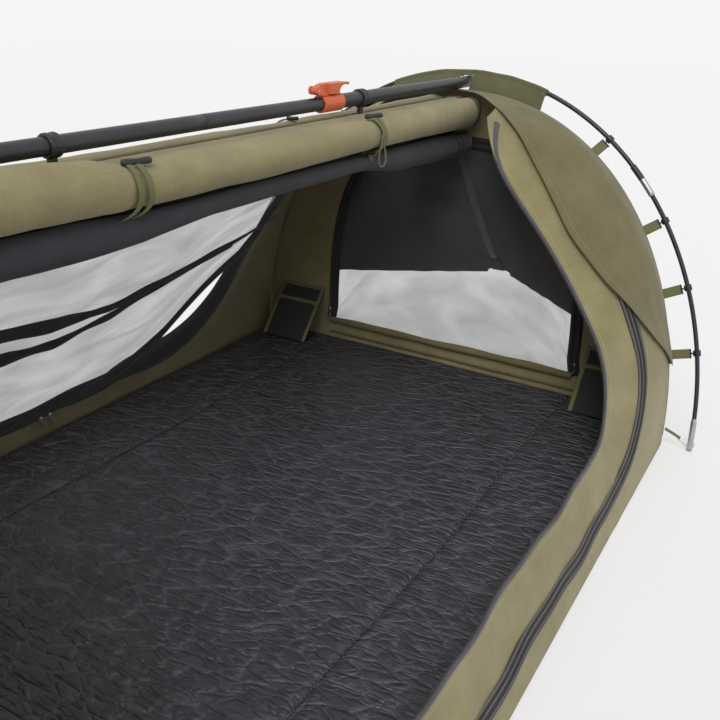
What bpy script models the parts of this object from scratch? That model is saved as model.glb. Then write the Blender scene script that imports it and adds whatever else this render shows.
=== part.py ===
"""Double dome swag: a roll-up canvas bed shelter with two end hoops and a telescopic ridge pole.

Frame: +X is the near long side, +Y the head end, +Z up, origin at the centre of the base's underside.
Every length is in metres and follows from the driving dimensions below.
"""

import math

import bpy
import bmesh
from mathutils import Matrix, Vector

# Driving dimensions of the shelter
BASE_WIDTH = 1.39
BASE_LENGTH = 2.13
ARCH_HEIGHT = 0.922
SAG_HEIGHT = 0.915
RIDGE_HEIGHT = 0.940
GUSSET_DEPTH = 0.405
ROOF_SLOT_HALF = 0.12
GROUND_CLEARANCE = 0.003
ARCH_POWER_share = 2.4
SAG_POWER_share = 1.35

# Cloth thicknesses and the clearances between pieces
CANVAS = 0.002
HOOD_CANVAS = 0.0015
NETTING = 0.001
TAPE = 0.001
TOUCH = 0.0003
LAYER = 0.0015
OVERRUN = 0.02

# Base tub and mattress
TUB_RIM = 0.012
TUB_SKIN = 0.0015
MATTRESS_TOP = 0.09
MATTRESS_CLEARANCE = 0.0015
MATTRESS_EDGE_ROUND = 0.018
MATTRESS_CROWN = 0.004
COVER_SKIN = 0.0012
COVER_ZIP_HEIGHT = 0.03
SEAM_OFFSET = 0.42
SEAM_WIDTH = 0.012
SEAM_DEPTH = 0.003

# Door openings, in the side view
DOOR_HALF = 0.75
DOOR_SILL = 0.175
DOOR_CORNER = 0.20
ZIP_HALF = 0.86
ZIP_SILL = 0.095
ZIP_CORNER = 0.24
ZIP_TOP = 0.80
DOOR_ZIP_WIDTH = 0.022
MESH_ZIP_WIDTH = 0.026
MESH_ZIP_TOP = 0.78
MESH_OVERLAP = 0.007
MESH_FOLD = 0.017
MESH_TOP_OFFSET = 0.16

# Head window and its awning
WINDOW_HALF = 0.415
WINDOW_SILL = 0.13
WINDOW_HEIGHT = 0.65
WINDOW_POWER_share = 3.0
WINDOW_ZIP_WIDTH = 0.036
WINDOW_MESH_LAP = 0.010
AWNING_SIDE_HEIGHT = 0.32
AWNING_REACH = 0.425
AWNING_PEAK_HEIGHT = 0.29
AWNING_LAP = 0.012
AWNING_TIP_share = 0.13
AWNING_SAG = 0.02
STRAP_WIDTH = 0.025
STRAP_THICKNESS = 0.0012
STRAP_GAP = 0.0012
STRAP_START_share = 0.02

# Storm hoods over the head and foot ends
HOOD_TIP_HEIGHT = 0.26
HOOD_WIDTH = 0.263
HOOD_LIFT = 0.003
HOOD_WIDTH_shares = (0.05, 0.45, 0.72, 0.88, 0.97, 1.0, 0.98, 0.94, 0.86, 0.74, 0.52, 0.26, 0.13)

# Rolled doors under the ridge
ROLL_OFFSET = 0.046
ROLL_HEIGHT = 0.868
ROLL_HALF_LENGTH = 0.99
ROLL_RADIUS = 0.045
ROLL_SLACK_RADIUS = 0.041
ROLL_TIED_RADIUS = 0.037
MESH_ROLL_RADIUS = 0.031
MESH_ROLL_TIED_RADIUS = 0.026
MESH_ROLL_HALF_LENGTH = 0.97
ROOF_STRIP_HALF = 0.018
ROOF_STRIP_SKIN = 0.0015
TIE_PLACES = (-0.22, 0.49)
TIE_HALF_GRIP = 0.016
TIE_CORD_RADIUS = 0.002
TOGGLE_RADIUS = 0.0045
TOGGLE_HALF_LENGTH = 0.021
TOGGLE_ANGLE = math.radians(20)

# Hoops
HOOP_HALF_SPAN = 0.7696
HOOP_RADIUS = 0.006
HOOP_FOOT_STANDOFF = 0.0075
HOOP_LEAN = 0.0463
HOOP_POWER_share = 2.064
FERRULE_ANGLE = math.radians(48)
FERRULE_LENGTH = 0.095
FERRULE_SKIN = 0.0012
POLE_TIP_LENGTH = 0.095
POLE_TIP_RADIUS = 0.0078
TIP_STEP_share = 0.05
SLEEVE_HALF_ANGLE = math.radians(17)
SLEEVE_SKIN = 0.0015
SLEEVE_LIP = 0.006
NOTCH_HALF = 0.017
NOTCH_SKIRT_share = 0.14
PIPING_RADIUS = 0.004
PIPING_FOOT_HEIGHT = 0.03

# Clips that hang the canvas from the hoops
CLIP_ANGLES = (math.radians(16.5), math.radians(27.7), math.radians(39.8), math.radians(57.6))
CLIP_WIDTH = 0.014
CLIP_WALL = 0.0032
CLIP_BAR_LENGTH = 0.010
CLIP_BAR_THICKNESS = 0.004
TAB_WIDTH = 0.020
TAB_THICKNESS = 0.0018

# Corner links that hold the pole tips
LINK_HEIGHT = 0.055
LINK_WIDTH = 0.015
LINK_THICKNESS = 0.0018
LINK_GRIP_HEIGHT = 0.020
LINK_SLACK_share = 1.2
LINK_STRAP_LENGTH = 0.048
WIRE_RADIUS = 0.0012

# Telescopic ridge pole
OUTER_TUBE_RADIUS = 0.01535
INNER_TUBE_RADIUS = 0.0138
TUBE_WALL = 0.0012
RIDGE_END = 1.130
OUTER_TUBE_START = 0.362
INNER_TUBE_END = 0.50
CAP_LENGTH = 0.006
CAP_PLUG = 0.012

# Clips that hang the roof strip from the ridge pole
RIDGE_CLIP_PLACES = (-0.33, 0.525)
RIDGE_CLIP_WIDTH = 0.022
RIDGE_CLIP_WALL = 0.0034
RIDGE_CLIP_RIB = 0.0012
RIDGE_CLIP_NECK = 0.009
RIDGE_CLIP_BASE_LENGTH = 0.034
RIDGE_CLIP_BASE_WIDTH = 0.020
RIDGE_CLIP_BASE_HEIGHT = 0.003

# Flip lock on the ridge pole
LOCK_LENGTH = 0.075
LOCK_WALL = 0.0032
LOCK_LIP = 0.0008
LOCK_EAR_THICKNESS = 0.0045
LOCK_EAR_GAP = 0.014
LOCK_EAR_RADIUS = 0.0085
LOCK_PIVOT_RISE = 0.0285
LOCK_PIVOT_REACH = 0.016
LOCK_EAR_FOOT = 0.018
LOCK_PIN_RADIUS = 0.0022
LOCK_PIN_CLEARANCE = 0.00005
LEVER_WIDTH = 0.030
LEVER_LENGTH = 0.110
LEVER_TOP_RISE = 0.0405
LEVER_KNUCKLE_RADIUS = 0.007
LEVER_TAB_THICKNESS = 0.0045

# Sliders and pullers on the far netting door's zip
SLIDER_PLACES = (0.035, 0.062)
SLIDER_LENGTH = 0.012
SLIDER_HEIGHT = 0.008
SLIDER_DEPTH = 0.0035
SLIDER_DROP = 0.0185
SLIDER_EYE = 0.0016
PULLER_LENGTH = 0.027
PULLER_WIDTH = 0.005
PULLER_THICKNESS = 0.0014
PULLER_EYE = 0.0015

# Corner pockets at the head
POCKET_INNER = 0.455
POCKET_OUTER = 0.60
POCKET_TOP = 0.245
POCKET_REACH = 0.10
POCKET_SKIN = 0.0012
POCKET_BINDING = 0.0022
POCKET_BINDING_WIDTH = 0.014
POCKET_WELT = 0.19

# Counts of facets
WALL_ROWS = 17
GUSSET_COLUMNS = 7
SILL_COLUMNS = 2
ARCH_STEPS = 52
APEX_STEPS = 2
SLEEVE_STEPS = 6
ROUND_STEPS = 16
ROLL_STEPS = 16
HOOP_TURN = math.radians(7.5)
HALF_FACET = math.radians(22.5)

HALF_WIDTH = BASE_WIDTH / 2
HALF_LENGTH = BASE_LENGTH / 2
WALL_END = HALF_LENGTH - CANVAS - TOUCH
SLEEVE_BORE = (HOOP_RADIUS + TOUCH) / math.cos(HALF_FACET)
HOOP_APEX = RIDGE_HEIGHT + OUTER_TUBE_RADIUS + TOUCH + SLEEVE_SKIN + SLEEVE_BORE
HEAD = 1
FOOT = -1
NEAR = 1
FAR = -1

# Turns a flat outline's own X and Y into the side view's Y and Z, or the end view's X and Z
SIDE_VIEW = Matrix(((0, 0, 1, 0), (1, 0, 0, 0), (0, 1, 0, 0), (0, 0, 0, 1)))
END_VIEW = Matrix(((1, 0, 0, 0), (0, 0, -1, 0), (0, 1, 0, 0), (0, 0, 0, 1)))


def make_collection(name):
    """Add a collection to the scene and return it."""
    collection = bpy.data.collections.new(name)
    bpy.context.scene.collection.children.link(collection)
    return collection


def make_material(name, colour, roughness, metallic=0.0):
    """Return a Principled material with the given colour, roughness and metallic value."""
    material = bpy.data.materials.new(name)
    material.use_nodes = True
    shader = material.node_tree.nodes["Principled BSDF"]
    shader.inputs["Base Color"].default_value = (*colour, 1.0)
    shader.inputs["Roughness"].default_value = roughness
    shader.inputs["Metallic"].default_value = metallic
    return material


def add_object(name, data, material, matrix=None):
    """Link an object to the part's collection, give it a material of its own and place it."""
    item = bpy.data.objects.new(name, data)
    PARTS.objects.link(item)
    own = material.copy()
    own.name = name
    data.materials.append(own)
    if matrix is not None:
        item.matrix_world = matrix
    return item


def mesh_object(name, bm, material, matrix=None):
    """Turn a bmesh into a smooth-shaded object."""
    mesh = bpy.data.meshes.new(name)
    bm.to_mesh(mesh)
    bm.free()
    mesh.shade_smooth()
    mesh.set_sharp_from_angle(angle=math.radians(35))
    return add_object(name, mesh, material, matrix)


def solid_mesh(item):
    """Replace a curve object by the welded mesh that it evaluates to."""
    name = item.name
    bpy.context.view_layer.update()
    graph = bpy.context.evaluated_depsgraph_get()
    mesh = bpy.data.meshes.new_from_object(item.evaluated_get(graph))
    bm = bmesh.new()
    bm.from_mesh(mesh)
    bmesh.ops.remove_doubles(bm, verts=bm.verts, dist=TOUCH / 100)
    bmesh.ops.recalc_face_normals(bm, faces=bm.faces)
    bm.to_mesh(mesh)
    bm.free()
    matrix = item.matrix_world.copy()
    bpy.data.objects.remove(item)
    solid = bpy.data.objects.new(name, mesh)
    PARTS.objects.link(solid)
    solid.matrix_world = matrix
    return solid


def combine(target, other, operation):
    """Cut, join or intersect the target with another object, which becomes a cutter."""
    PARTS.objects.unlink(other)
    CUTTERS.objects.link(other)
    other.name = target.name + "_cutter"
    other.hide_render = True
    other.display_type = "WIRE"
    modifier = target.modifiers.new(operation.title(), "BOOLEAN")
    modifier.operation = operation
    modifier.object = other
    modifier.solver = "EXACT"
    return target


def plate(name, outlines, thickness, middle, view, material):
    """Make a flat plate from closed outlines in the end or side view, centred at the depth middle."""
    curve = bpy.data.curves.new(name, "CURVE")
    curve.dimensions = "2D"
    curve.fill_mode = "BOTH"
    curve.extrude = thickness / 2
    for outline in outlines:
        spline = curve.splines.new("POLY")
        spline.points.add(len(outline) - 1)
        for point, (across, up) in zip(spline.points, outline):
            point.co = (across, up, 0, 1)
        spline.use_cyclic_u = True
    return add_object(name, curve, material, Matrix.Translation(middle) @ view)


def rod(name, points, radius, material, resolution=2, radii=None, closed=False):
    """Make a round rod along points, with an optional radius at each point."""
    curve = bpy.data.curves.new(name, "CURVE")
    curve.dimensions = "3D"
    curve.bevel_depth = radius
    curve.bevel_resolution = resolution
    curve.use_fill_caps = not closed
    spline = curve.splines.new("POLY")
    spline.points.add(len(points) - 1)
    for index, place in enumerate(points):
        spline.points[index].co = (*place, 1)
        if radii is not None:
            spline.points[index].radius = radii[index] / radius
    spline.use_cyclic_u = closed
    return add_object(name, curve, material)


def turned(name, profile, material, matrix, closed, steps=ROUND_STEPS):
    """Turn a profile of (radius, height) points round the local Z axis."""
    bm = bmesh.new()
    corners = [bm.verts.new((radius, 0, height)) for radius, height in profile]
    for start, end in zip(corners, corners[1:]):
        bm.edges.new((start, end))
    if closed:
        bm.edges.new((corners[-1], corners[0]))
    item = mesh_object(name, bm, material, matrix)
    screw = item.modifiers.new("Turn", "SCREW")
    screw.axis = "Z"
    screw.steps = steps
    screw.render_steps = steps
    screw.use_merge_vertices = True
    screw.merge_threshold = TOUCH / 10
    return item


def sheet(name, rows, thickness, material, offset=1.0):
    """Give a grid of points a thickness on the side of its faces that offset names."""
    bm = bmesh.new()
    grid = [[bm.verts.new(point) for point in row] for row in rows]
    for low, high in zip(grid, grid[1:]):
        for index in range(len(low) - 1):
            bm.faces.new((low[index], low[index + 1], high[index + 1]))
            bm.faces.new((low[index], high[index + 1], high[index]))
    item = mesh_object(name, bm, material)
    skin = item.modifiers.new("Skin", "SOLIDIFY")
    skin.thickness = thickness
    skin.offset = offset
    return item


def loft(name, rings, material, turn_back=None):
    """Join closed rings of points into one capped solid.

    From the point numbered turn_back on, the quads are split along their other diagonal, so that
    the two faces of a thin cloth are folded alike."""
    bm = bmesh.new()
    loops = [[bm.verts.new(point) for point in ring] for ring in rings]
    for low, high in zip(loops, loops[1:]):
        for index in range(len(low)):
            following = (index + 1) % len(low)
            if turn_back is None or index < turn_back:
                bm.faces.new((low[index], low[following], high[following]))
                bm.faces.new((low[index], high[following], high[index]))
            else:
                bm.faces.new((low[index], low[following], high[index]))
                bm.faces.new((low[following], high[following], high[index]))
    bm.faces.new(loops[0][::-1])
    bm.faces.new(loops[-1])
    bmesh.ops.recalc_face_normals(bm, faces=bm.faces)
    return mesh_object(name, bm, material)


def block(name, size, matrix, material, bevel=0.0):
    """Make a box of the given size, with rounded edges if bevel is more than zero."""
    bm = bmesh.new()
    bmesh.ops.create_cube(bm, size=1.0)
    bmesh.ops.scale(bm, vec=size, verts=bm.verts)
    item = mesh_object(name, bm, material, matrix)
    if bevel > 0:
        rounding = item.modifiers.new("Rounding", "BEVEL")
        rounding.width = bevel
        rounding.segments = 2
        rounding.limit_method = "NONE"
    return item


def frame_at(place, along, across):
    """Return a matrix at a place whose local Z runs along one vector and local X near another."""
    z_axis = Vector(along).normalized()
    x_axis = Vector(across) - z_axis * z_axis.dot(Vector(across))
    x_axis.normalize()
    y_axis = z_axis.cross(x_axis)
    turn = Matrix((x_axis, y_axis, z_axis)).transposed()
    return Matrix.Translation(place) @ turn.to_4x4()


def section(y):
    """Return half width, height and power of the canvas section at a length y.

    The section is a full arch at the end walls and, between the gussets, a drawn-in curve."""
    share = (abs(y) - (HALF_LENGTH - GUSSET_DEPTH)) / GUSSET_DEPTH
    share = min(max(share, 0.0), 1.0)
    blend = share * share * (3 - 2 * share)
    height = SAG_HEIGHT + (ARCH_HEIGHT - SAG_HEIGHT) * blend
    power = SAG_POWER_share + (ARCH_POWER_share - SAG_POWER_share) * blend
    return HALF_WIDTH, height, power


def side_x(y, z):
    """Return the distance of the outer canvas surface from the middle plane at length y and height z."""
    width, height, power = section(y)
    return width * (1 - (z / height) ** power) ** (1 / power)


def skin_point(side, y, z, lift):
    """Return the point at length y and height z on the canvas, raised outwards by lift."""
    width, height, power = section(y)
    x = side_x(y, z)
    slope = Vector((x ** (power - 1) / width ** power, 0, z ** (power - 1) / height ** power)).normalized()
    return Vector((side * (x + lift * slope.x), y, z + lift * slope.z))


def skin_angle_point(side, y, angle, lift):
    """Return the point at an angle round the section, 0 at the base and a right angle at the ridge."""
    height, power = section(y)[1:]
    z = height * math.sin(angle) ** (2 / power)
    if angle > math.radians(89):
        return Vector((side * HALF_WIDTH * max(math.cos(angle), 0.0) ** (2 / power), y, height + lift))
    return skin_point(side, y, z, lift)


def angle_at_height(y, z):
    """Return the angle round the section at length y where its height is z."""
    height, power = section(y)[1:]
    return math.asin((z / height) ** (power / 2))


def angle_at_width(y, x):
    """Return the angle round the section at length y where its half width is x."""
    width, power = section(y)[0], section(y)[2]
    return math.acos((x / width) ** (power / 2))


def wall_columns():
    """Return the lengths at which the side walls have a column of points."""
    gusset_start = HALF_LENGTH - GUSSET_DEPTH
    step = (WALL_END - gusset_start) / GUSSET_COLUMNS
    head = [gusset_start + step * index for index in range(GUSSET_COLUMNS + 1)]
    sill = [gusset_start * (2 * index / SILL_COLUMNS - 1) for index in range(1, SILL_COLUMNS)]
    return [-y for y in reversed(head)] + sill + head


def rounded_opening(half, sill, corner, top, steps=7, grow=0.0):
    """Return the (length, height) points down one side of a doorway, along its sill and up the other.

    grow moves the whole outline outwards."""
    half = half + grow
    sill = sill - grow
    corner = corner + grow
    right = []
    for index in range(steps + 1):
        angle = math.pi / 2 * index / steps
        right.append((half - corner + corner * math.cos(angle), sill + corner - corner * math.sin(angle)))
    left = [(-across, up) for across, up in reversed(right)]
    return [(half, top)] + right + left + [(-half, top)]


def arch_outline(half, bottom, height, power, steps, foot=0.0):
    """Return the (across, up) points of an arch from its right foot over to its left foot."""
    start = math.asin(((foot - bottom) / height) ** (power / 2)) if foot > bottom else 0.0
    points = []
    for index in range(steps + 1):
        angle = start + (math.pi - 2 * start) * index / steps
        across = math.copysign(abs(math.cos(angle)) ** (2 / power), math.cos(angle)) * half
        points.append((across, bottom + height * abs(math.sin(angle)) ** (2 / power)))
    return points


def hoop_point(end, angle):
    """Return the middle of the hoop at an angle, 0 at the near foot and a half turn at the far foot."""
    across = math.copysign(abs(math.cos(angle)) ** (2 / HOOP_POWER_share), math.cos(angle)) * HOOP_HALF_SPAN
    rise = abs(math.sin(angle)) ** (2 / HOOP_POWER_share)
    length = HALF_LENGTH + HOOP_FOOT_STANDOFF + HOOP_LEAN * rise
    return Vector((across, end * length, GROUND_CLEARANCE + (HOOP_APEX - GROUND_CLEARANCE) * rise))


def hoop_direction(end, angle):
    """Return the unit vector along the hoop at an angle."""
    step = math.radians(0.5)
    return (hoop_point(end, angle + step) - hoop_point(end, angle - step)).normalized()


def hoop_angle_after(end, start, length):
    """Return the angle that lies a length further along the hoop, found in small steps."""
    step = math.radians(0.05)
    angle = start
    travelled = 0.0
    while travelled < length:
        travelled += (hoop_point(end, angle + step) - hoop_point(end, angle)).length
        angle += step
    return angle


def make_base():
    """Tub of coated cloth with a low rim, and the foam mattress in its zipped cover."""
    tub_half = side_x(0, TUB_RIM) - CANVAS - LAYER
    bm = bmesh.new()
    bmesh.ops.create_cube(bm, size=1.0)
    bmesh.ops.scale(bm, vec=(2 * tub_half, 2 * WALL_END, TUB_RIM), verts=bm.verts)
    top = [face for face in bm.faces if face.normal.z > 0.5]
    bmesh.ops.delete(bm, geom=top, context="FACES_ONLY")
    tub = mesh_object("base_tub", bm, PVC, Matrix.Translation((0, 0, TUB_RIM / 2)))
    skin = tub.modifiers.new("Skin", "SOLIDIFY")
    skin.thickness = TUB_SKIN
    skin.offset = -1.0

    cover_half = side_x(0, MATTRESS_TOP) - CANVAS - MATTRESS_CLEARANCE
    cover_end = WALL_END - TUB_SKIN - MATTRESS_CLEARANCE
    cover_bottom = TUB_SKIN + TOUCH
    cover = cushion("mattress_cover", cover_half, cover_end, cover_bottom, MATTRESS_TOP, COVER_CLOTH)
    half = cover_half - COVER_SKIN
    end = cover_end - COVER_SKIN
    bottom = cover_bottom + COVER_SKIN
    top = MATTRESS_TOP - COVER_SKIN
    combine(cover, cushion("hollow", half, end, bottom, top, COVER_CLOTH), "DIFFERENCE")
    slot_middle = Matrix.Translation((0, -cover_end, (bottom + top) / 2))
    slot = block("slot", (half, OVERRUN, COVER_ZIP_HEIGHT), slot_middle, COVER_CLOTH)
    combine(cover, slot, "DIFFERENCE")
    cushion("mattress_core", half - TOUCH, end - TOUCH, bottom + TOUCH, top - TOUCH, FOAM)


def cushion_ring(half, y, bottom, top, inset, rise_share):
    """One ring of a pad: round corners, and a top that swells between its lengthwise seams."""
    reach = half - inset
    radius = MATTRESS_EDGE_ROUND
    corners = []
    for angle in (0, 45, 90):
        turn = math.radians(angle)
        corners.append((reach - radius + radius * math.cos(turn), top - inset - radius + radius * math.sin(turn)))
    bays = []
    edges = [reach - radius, SEAM_OFFSET, -SEAM_OFFSET, radius - reach]
    for outer, inner in zip(edges, edges[1:]):
        bays.append(((outer + inner) / 2, top - inset + MATTRESS_CROWN * rise_share))
        for offset, depth in ((SEAM_WIDTH / 2, 0), (0, SEAM_DEPTH), (-SEAM_WIDTH / 2, 0)):
            bays.append((inner + offset, top - inset - depth))
    outline = corners + bays[:-3] + [(-across, up) for across, up in reversed(corners)]
    low = bottom + inset
    outline += [(-reach, low + radius), (radius - reach, low), (reach - radius, low), (reach, low + radius)]
    return [Vector((across, y, up)) for across, up in outline]


def cushion(name, half, end, bottom, top, material):
    """A long pad with round edges, lengthwise seams and a slightly swollen top."""
    radius = MATTRESS_EDGE_ROUND
    profile = ((1.0, 0.5, 0.0), (0.5, 0.1, 0.0), (0.0, 0.0, 0.0))
    stations = [(end - radius + radius * out, radius * inset, rise) for out, inset, rise in profile]
    stations.append((end * 0.7, 0.0, 1.0))
    stations += [(-y, inset, rise) for y, inset, rise in reversed(stations)]
    rings = [cushion_ring(half, y, bottom, top, inset, rise) for y, inset, rise in stations]
    return loft(name, rings, material)


def wall_angles(y):
    """Return the angles round the section at which the side walls have a row of points."""
    low = angle_at_height(y, GROUND_CLEARANCE)
    high = angle_at_width(y, ROOF_SLOT_HALF)
    return [low + (high - low) * index / WALL_ROWS for index in range(WALL_ROWS + 1)]


def wall_grid(side, lift):
    """Return the side wall's grid of points, moved outwards by lift."""
    grid = [[skin_angle_point(side, y, angle, lift) for angle in wall_angles(y)] for y in wall_columns()]
    return grid[::-1] if side == NEAR else grid


def side_cutter(outline, side):
    """Prism through one side of the shelter from an outline in the side view."""
    depth = HALF_WIDTH
    place = (side * (ROOF_SLOT_HALF / 2 + depth / 2), 0, 0)
    return solid_mesh(plate("side_view", [outline], depth, place, SIDE_VIEW, CANVAS_CLOTH))


def make_side_wall(name, side):
    """Canvas side: sill and both end gussets in one panel, with the doorway cut out."""
    wall = sheet(name, wall_grid(side, 0.0), CANVAS, CANVAS_CLOTH, -1.0)
    outline = rounded_opening(DOOR_HALF, DOOR_SILL, DOOR_CORNER, RIDGE_HEIGHT + OVERRUN)
    combine(wall, side_cutter(outline, side), "DIFFERENCE")


def make_tape(name, side, lift, thickness, inner, outer):
    """Tape that follows the side wall's facets between two outlines in the side view."""
    tape = sheet(name, wall_grid(side, lift), thickness, ZIP_CLOTH, 1.0)
    combine(tape, side_cutter(outer + inner[::-1], side), "INTERSECT")


def make_side_zips():
    """Zip tapes: the canvas door's outside on the near wall, the netting door's inside on both walls."""
    inner = rounded_opening(ZIP_HALF, ZIP_SILL, ZIP_CORNER, ZIP_TOP, grow=-DOOR_ZIP_WIDTH / 2)
    outer = rounded_opening(ZIP_HALF, ZIP_SILL, ZIP_CORNER, ZIP_TOP, grow=DOOR_ZIP_WIDTH / 2)
    make_tape("near_door_zip", NEAR, LAYER / 2, LAYER, inner, outer)
    inner = rounded_opening(DOOR_HALF, DOOR_SILL, DOOR_CORNER, MESH_ZIP_TOP, grow=TOUCH)
    outer = rounded_opening(DOOR_HALF, DOOR_SILL, DOOR_CORNER, MESH_ZIP_TOP, grow=MESH_ZIP_WIDTH)
    depth = -(CANVAS + LAYER / 2 + TAPE)
    make_tape("near_mesh_zip", NEAR, depth, TAPE, inner, outer)
    make_tape("far_mesh_zip", FAR, depth, TAPE, inner, outer)


def make_end_wall(name, end, openings):
    """Flat arched end panel, with the window cut out of the head one."""
    outline = arch_outline(HALF_WIDTH, 0.0, ARCH_HEIGHT, ARCH_POWER_share, ARCH_STEPS, GROUND_CLEARANCE)
    middle = (0, end * (HALF_LENGTH - CANVAS / 2), 0)
    return plate(name, [outline] + openings, CANVAS, middle, END_VIEW, CANVAS_CLOTH)


def window_outline(grow):
    """Outline of the head window, moved outwards by grow."""
    return arch_outline(WINDOW_HALF + grow, WINDOW_SILL - grow, WINDOW_HEIGHT + 2 * grow, WINDOW_POWER_share, 24)


def make_window():
    """Netting and zip tape of the head window, both on the inside of the head wall."""
    net_back = WALL_END
    middle = (0, net_back - NETTING / 2, 0)
    plate("window_mesh", [window_outline(WINDOW_MESH_LAP)], NETTING, middle, END_VIEW, NET_CLOTH)
    zip_back = net_back - NETTING - TOUCH
    rings = [window_outline(WINDOW_ZIP_WIDTH / 2), window_outline(-WINDOW_ZIP_WIDTH / 2)]
    plate("window_zip", rings, TAPE, (0, zip_back - TAPE / 2, 0), END_VIEW, ZIP_CLOTH)


def awning_point(share, reach, lift):
    """Point of the propped-out window cover: share runs round its arch, reach from the wall to its tip."""
    start = HALF_LENGTH + TOUCH
    root_height = WINDOW_HEIGHT + WINDOW_SILL + AWNING_LAP - AWNING_SIDE_HEIGHT
    angle = math.pi * share
    power = 2 / WINDOW_POWER_share
    across = math.copysign(abs(math.cos(angle)) ** power, math.cos(angle)) * (WINDOW_HALF + AWNING_LAP)
    root = Vector((across, start, AWNING_SIDE_HEIGHT + root_height * abs(math.sin(angle)) ** power))
    tip = Vector((0, start + AWNING_REACH, AWNING_PEAK_HEIGHT))
    end = tip + (root - Vector((0, start, AWNING_SIDE_HEIGHT + root_height))) * AWNING_TIP_share
    place = root.lerp(end, reach)
    place.z += lift - AWNING_SAG * math.sin(math.pi * reach) * math.sin(angle)
    return place


def make_awning():
    """Window cover pulled out from the head end like an eyelid, with its middle strap underneath."""
    rows = []
    for step in range(6):
        rows.append([awning_point(index / 16, step / 5, 0.0) for index in range(17)])
    sheet("window_awning", rows, HOOD_CANVAS, CANVAS_CLOTH, -1.0)
    strap = []
    for step in range(11):
        reach = STRAP_START_share + (1 - STRAP_START_share) * step / 10
        along = awning_point(0.5, reach, 0.0) - awning_point(0.5, reach - STRAP_START_share, 0.0)
        inward = Vector((0, along.z, -along.y)).normalized()
        middle = awning_point(0.5, reach, 0.0) + inward * STRAP_GAP
        strap.append([middle + Vector((side * STRAP_WIDTH / 2, 0, 0)) for side in (1, 0, -1)])
    sheet("awning_strap", strap, STRAP_THICKNESS, WEBBING, 1.0)


def hood_edge(end):
    """Return the hood's inner edge in the side view, from its tip up to the ridge."""
    edge = []
    last = len(HOOD_WIDTH_shares) - 1
    for index, share in enumerate(HOOD_WIDTH_shares):
        y = WALL_END - HOOD_WIDTH * share
        low = angle_at_height(y, HOOD_TIP_HEIGHT)
        angle = low + (math.pi / 2 - low) * index / last
        edge.append((end * y, skin_angle_point(NEAR, y, angle, HOOD_LIFT).z))
    return edge


def make_hood(name, end):
    """Storm hood: a crescent of canvas over the end gussets, from the near tip over the ridge to the far."""
    rows = []
    for y in [column for column in wall_columns() if column * end >= HALF_LENGTH - GUSSET_DEPTH - TOUCH]:
        angles = wall_angles(y)
        rise = [angles[-1] + (math.pi / 2 - angles[-1]) * index / APEX_STEPS for index in range(1, APEX_STEPS)]
        near = [skin_angle_point(NEAR, y, angle, HOOD_LIFT) for angle in angles]
        near += [skin_angle_point(NEAR, y, angle, 0.0) for angle in rise]
        far = [Vector((-point.x, point.y, point.z)) for point in reversed(near)]
        rows.append(near + [skin_angle_point(NEAR, y, math.pi / 2, 0.0)] + far)
    hood = sheet(name, rows[::-1], HOOD_CANVAS, CANVAS_CLOTH, 1.0)
    edge = hood_edge(end)
    beyond = end * (WALL_END + OVERRUN)
    outline = edge + [(edge[-1][0], RIDGE_HEIGHT), (beyond, RIDGE_HEIGHT), (beyond, edge[0][1])]
    cutter = solid_mesh(plate("side_view", [outline], 2 * BASE_WIDTH, (0, 0, 0), SIDE_VIEW, CANVAS_CLOTH))
    combine(hood, cutter, "INTERSECT")


def roll_rings(x, z, stations, steps):
    """Rings of a rolled door from a list of (length, radius) stations."""
    rings = []
    for y, radius in stations:
        ring = []
        for index in range(steps):
            angle = 2 * math.pi * index / steps
            ring.append(Vector((x + radius * math.cos(angle), y, z + radius * math.sin(angle))))
        rings.append(ring)
    return rings


def roll_stations(half, full, slack, tied):
    """Stations of a door roll: fullest at its ends, drawn in at each tie."""
    round_end = full / 4
    stations = [(-half, full - round_end), (-half + round_end, full)]
    for place in TIE_PLACES:
        stations += [(place - 4 * TIE_HALF_GRIP, slack), (place - TIE_HALF_GRIP, tied)]
        stations += [(place + TIE_HALF_GRIP, tied), (place + 4 * TIE_HALF_GRIP, slack)]
    return stations + [(half - round_end, full), (half, full - round_end)]


def make_rolls():
    """Both canvas doors and the near netting door, rolled up under the ridge pole."""
    canvas = roll_stations(ROLL_HALF_LENGTH, ROLL_RADIUS, ROLL_SLACK_RADIUS, ROLL_TIED_RADIUS)
    for name, side in (("near_door_roll", NEAR), ("far_door_roll", FAR)):
        loft(name, roll_rings(side * ROLL_OFFSET, ROLL_HEIGHT, canvas, ROLL_STEPS), CANVAS_CLOTH)
    netting = roll_stations(MESH_ROLL_HALF_LENGTH, MESH_ROLL_RADIUS, MESH_ROLL_RADIUS, MESH_ROLL_TIED_RADIUS)
    height = ROLL_HEIGHT - ROLL_RADIUS - TOUCH - MESH_ROLL_RADIUS
    loft("near_mesh_roll", roll_rings(ROLL_OFFSET, height, netting, ROLL_STEPS), NET_CLOTH)


def make_roof_strip():
    """Strip of canvas in the valley between the rolls, from which both doors and the netting hang."""
    valley = math.sqrt(ROLL_RADIUS ** 2 - (ROLL_OFFSET - ROOF_STRIP_HALF) ** 2)
    bottom = ROLL_HEIGHT + valley + TOUCH
    size = (2 * ROOF_STRIP_HALF, 2 * WALL_END, ROOF_STRIP_SKIN)
    block("roof_strip", size, Matrix.Translation((0, 0, bottom + ROOF_STRIP_SKIN / 2)), CANVAS_CLOTH)
    return bottom


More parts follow.
